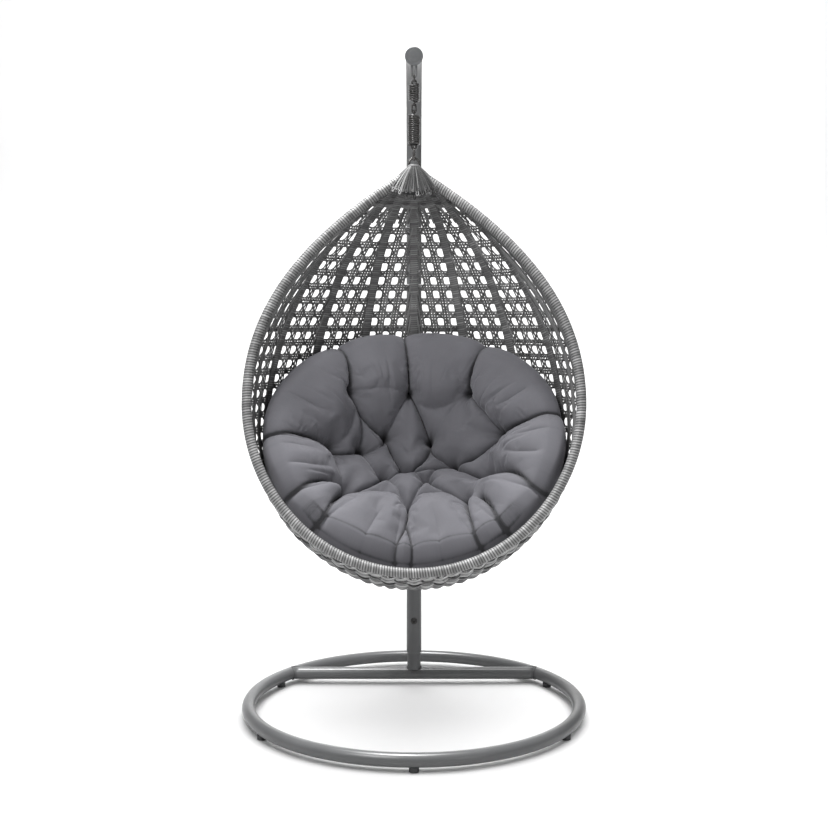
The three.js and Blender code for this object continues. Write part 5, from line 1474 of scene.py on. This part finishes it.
def cushion_wrinkles(px, py, share, angle, gap):
    """Puckers round the tufts, short folds near the edge, and slow unevenness."""
    draw = np.random.default_rng(77)
    lift = np.zeros(share.shape)
    for x, y in TUFTS:
        far = np.hypot(px - x, py - y)
        round_it = np.arctan2(py - y, px - x)
        count = draw.integers(9, 13)
        turn = draw.uniform(0, TURN)
        ridge = np.abs(np.sin(count / 2 * round_it + turn + .5 * np.sin(3 * round_it)))
        lift += .0030 * (ridge - .6) * np.exp(-((far - .022) / .018) ** 2)
    away = 1 - .85 * np.clip((-np.sin(angle) - .5) / .3, 0, 1)
    for _ in range(46):
        at = draw.uniform(0, TURN)
        start, end = draw.uniform(.62, .84), draw.uniform(.93, 1.0)
        lean = draw.uniform(-.09, .09)
        t = np.clip((share - start) / (end - start), 0, 1)
        off = ((angle - at - lean * (share - start) * 4 + pi) % TURN - pi) * share * CUSHION_CHART
        lift -= draw.uniform(.002, .0055) * np.exp(-(off / draw.uniform(.005, .011)) ** 2) * np.sin(pi * t) * away
    for _ in range(12):
        kx, ky = draw.normal(0, 1, 2)
        size = np.hypot(kx, ky) + 1e-6
        length = draw.uniform(.07, .16)
        lift += .0004 * np.sin((kx * px + ky * py) / size * TURN / length + draw.uniform(0, TURN))
    return lift - .0022 * seam_line(share, angle) + .0010 * seam_line(share, angle, .012, .006)


def sheet_mesh(top, low):
    """Joins the two faces of the cushion along their shared edge into one closed mesh."""
    count = len(top)
    index = np.arange(count * count).reshape(count, count)
    inner = np.zeros((count, count), bool)
    inner[1:-1, 1:-1] = True
    under = index.copy()
    under[inner] = count * count + np.arange(inner.sum())
    upper = np.where(inner[..., None], top, (top + low) / 2)
    quads = [
        np.stack([grid[:-1, :-1], grid[1:, :-1], grid[1:, 1:], grid[:-1, 1:]], -1).reshape(-1, 4)
        for grid in (index, under)
    ]
    return np.concatenate([upper.reshape(-1, 3), low[inner]]), np.concatenate([quads[0], quads[1][:, ::-1]]), inner


SIM_COUNT = 104
SIM_FRAMES = 20
SIM_SETTINGS = dict(
    vertex_group_mass="hold", pin_stiffness=2, quality=5, mass=.3, tension_stiffness=12, compression_stiffness=12,
    shear_stiffness=4, bending_stiffness=8, shrink_min=-.02, use_pressure=True, uniform_pressure_force=4,
)
HOLD_LEVELS = 20
LARGEST_SWELL = .016


def cloth_swell():
    """How a simulated filling moves each point of the coarse net, for its upper face."""
    top, low, px, py, share, _ = cushion_sheets(SIM_COUNT, False)
    verts, quads, inner = sheet_mesh(top, low)
    mesh = bpy.data.meshes.new("filling")
    mesh.from_pydata(verts.tolist(), [], quads.tolist())
    ob = bpy.data.objects.new("filling", mesh)
    bpy.context.scene.collection.objects.link(ob)
    valley = np.min([line_distance(px, py, line[0])[0] for line in CREASES], 0)
    hold = np.maximum(np.exp(-((tuft_distance(px, py) / .014) ** 2)), .55 * np.exp(-((valley / .009) ** 2)))
    hold = np.maximum(hold, np.where(share > .985, .25, 0))
    weights = np.concatenate([hold.ravel(), np.ones(int(inner.sum()))])
    group = ob.vertex_groups.new(name="hold")
    levels = np.round(weights * HOLD_LEVELS).astype(int)
    for level in range(1, HOLD_LEVELS + 1):
        group.add(np.nonzero(levels == level)[0].tolist(), level / HOLD_LEVELS, "REPLACE")
    cloth = ob.modifiers.new("cloth", "CLOTH")
    for key, value in SIM_SETTINGS.items():
        setattr(cloth.settings, key, value)
    cloth.settings.effector_weights.gravity = 0
    cloth.point_cache.frame_start, cloth.point_cache.frame_end = 1, SIM_FRAMES
    for number in range(1, SIM_FRAMES + 1):
        bpy.context.scene.frame_set(number)
    swollen = ob.evaluated_get(bpy.context.evaluated_depsgraph_get())
    result = swollen.to_mesh()
    out = np.zeros(len(result.vertices) * 3, np.float32)
    result.vertices.foreach_get("co", out)
    swollen.to_mesh_clear()
    bpy.context.scene.frame_set(1)
    bpy.data.objects.remove(ob)
    bpy.data.meshes.remove(mesh)
    moved = out.reshape(-1, 3)[:SIM_COUNT ** 2] - verts[:SIM_COUNT ** 2]
    size = np.linalg.norm(moved, axis=1, keepdims=True)
    return (moved * np.minimum(1, LARGEST_SWELL / np.maximum(size, 1e-9))).reshape(SIM_COUNT, SIM_COUNT, 3)


def upsample(field, count):
    """A coarse net's values on a finer net."""
    old, new = np.linspace(0, 1, len(field)), np.linspace(0, 1, count)
    rows = np.stack([taken_at(new, old, row) for row in field])
    return np.stack([taken_at(new, old, rows[:, j]) for j in range(count)], 1)


def make_cushion():
    """The tufted cushion. A simulated filling swells its upper face."""
    count = 300
    top, low, px, py, share, angle = cushion_sheets(count, True)
    top = top + upsample(cloth_swell(), count) * np.clip((1 - share) / .09, 0, 1)[..., None]
    verts, quads, inner = sheet_mesh(top, low)
    ob = mesh_object("tufted_cushion", verts, quads, np.zeros((0, 3), int), CLOTH)
    flat = np.stack([px, py, 0 * px], -1)
    # Painted shade for the cloth's colour: strongest in the pinched slits of the creases and tufts, and along the seam.
    fold = np.clip(pinch(px, py) / .010 + .6 * seam_line(share, angle), 0, 1)
    put_attribute(ob.data, "fold", "FLOAT", "value", np.concatenate([fold.ravel(), fold[inner]]))
    put_attribute(ob.data, "flat", "FLOAT_VECTOR", "vector", np.concatenate([flat.reshape(-1, 3), flat[inner]]))
    settle(ob, "pod", "cushion_fabric", "seat_cushion")


make_ring()
make_feet()
make_cross_bar()
make_pole()
make_chain()
make_cane()
make_ribs()
make_hoops()
make_rim()
make_bowl()
make_apex()
make_cushion()
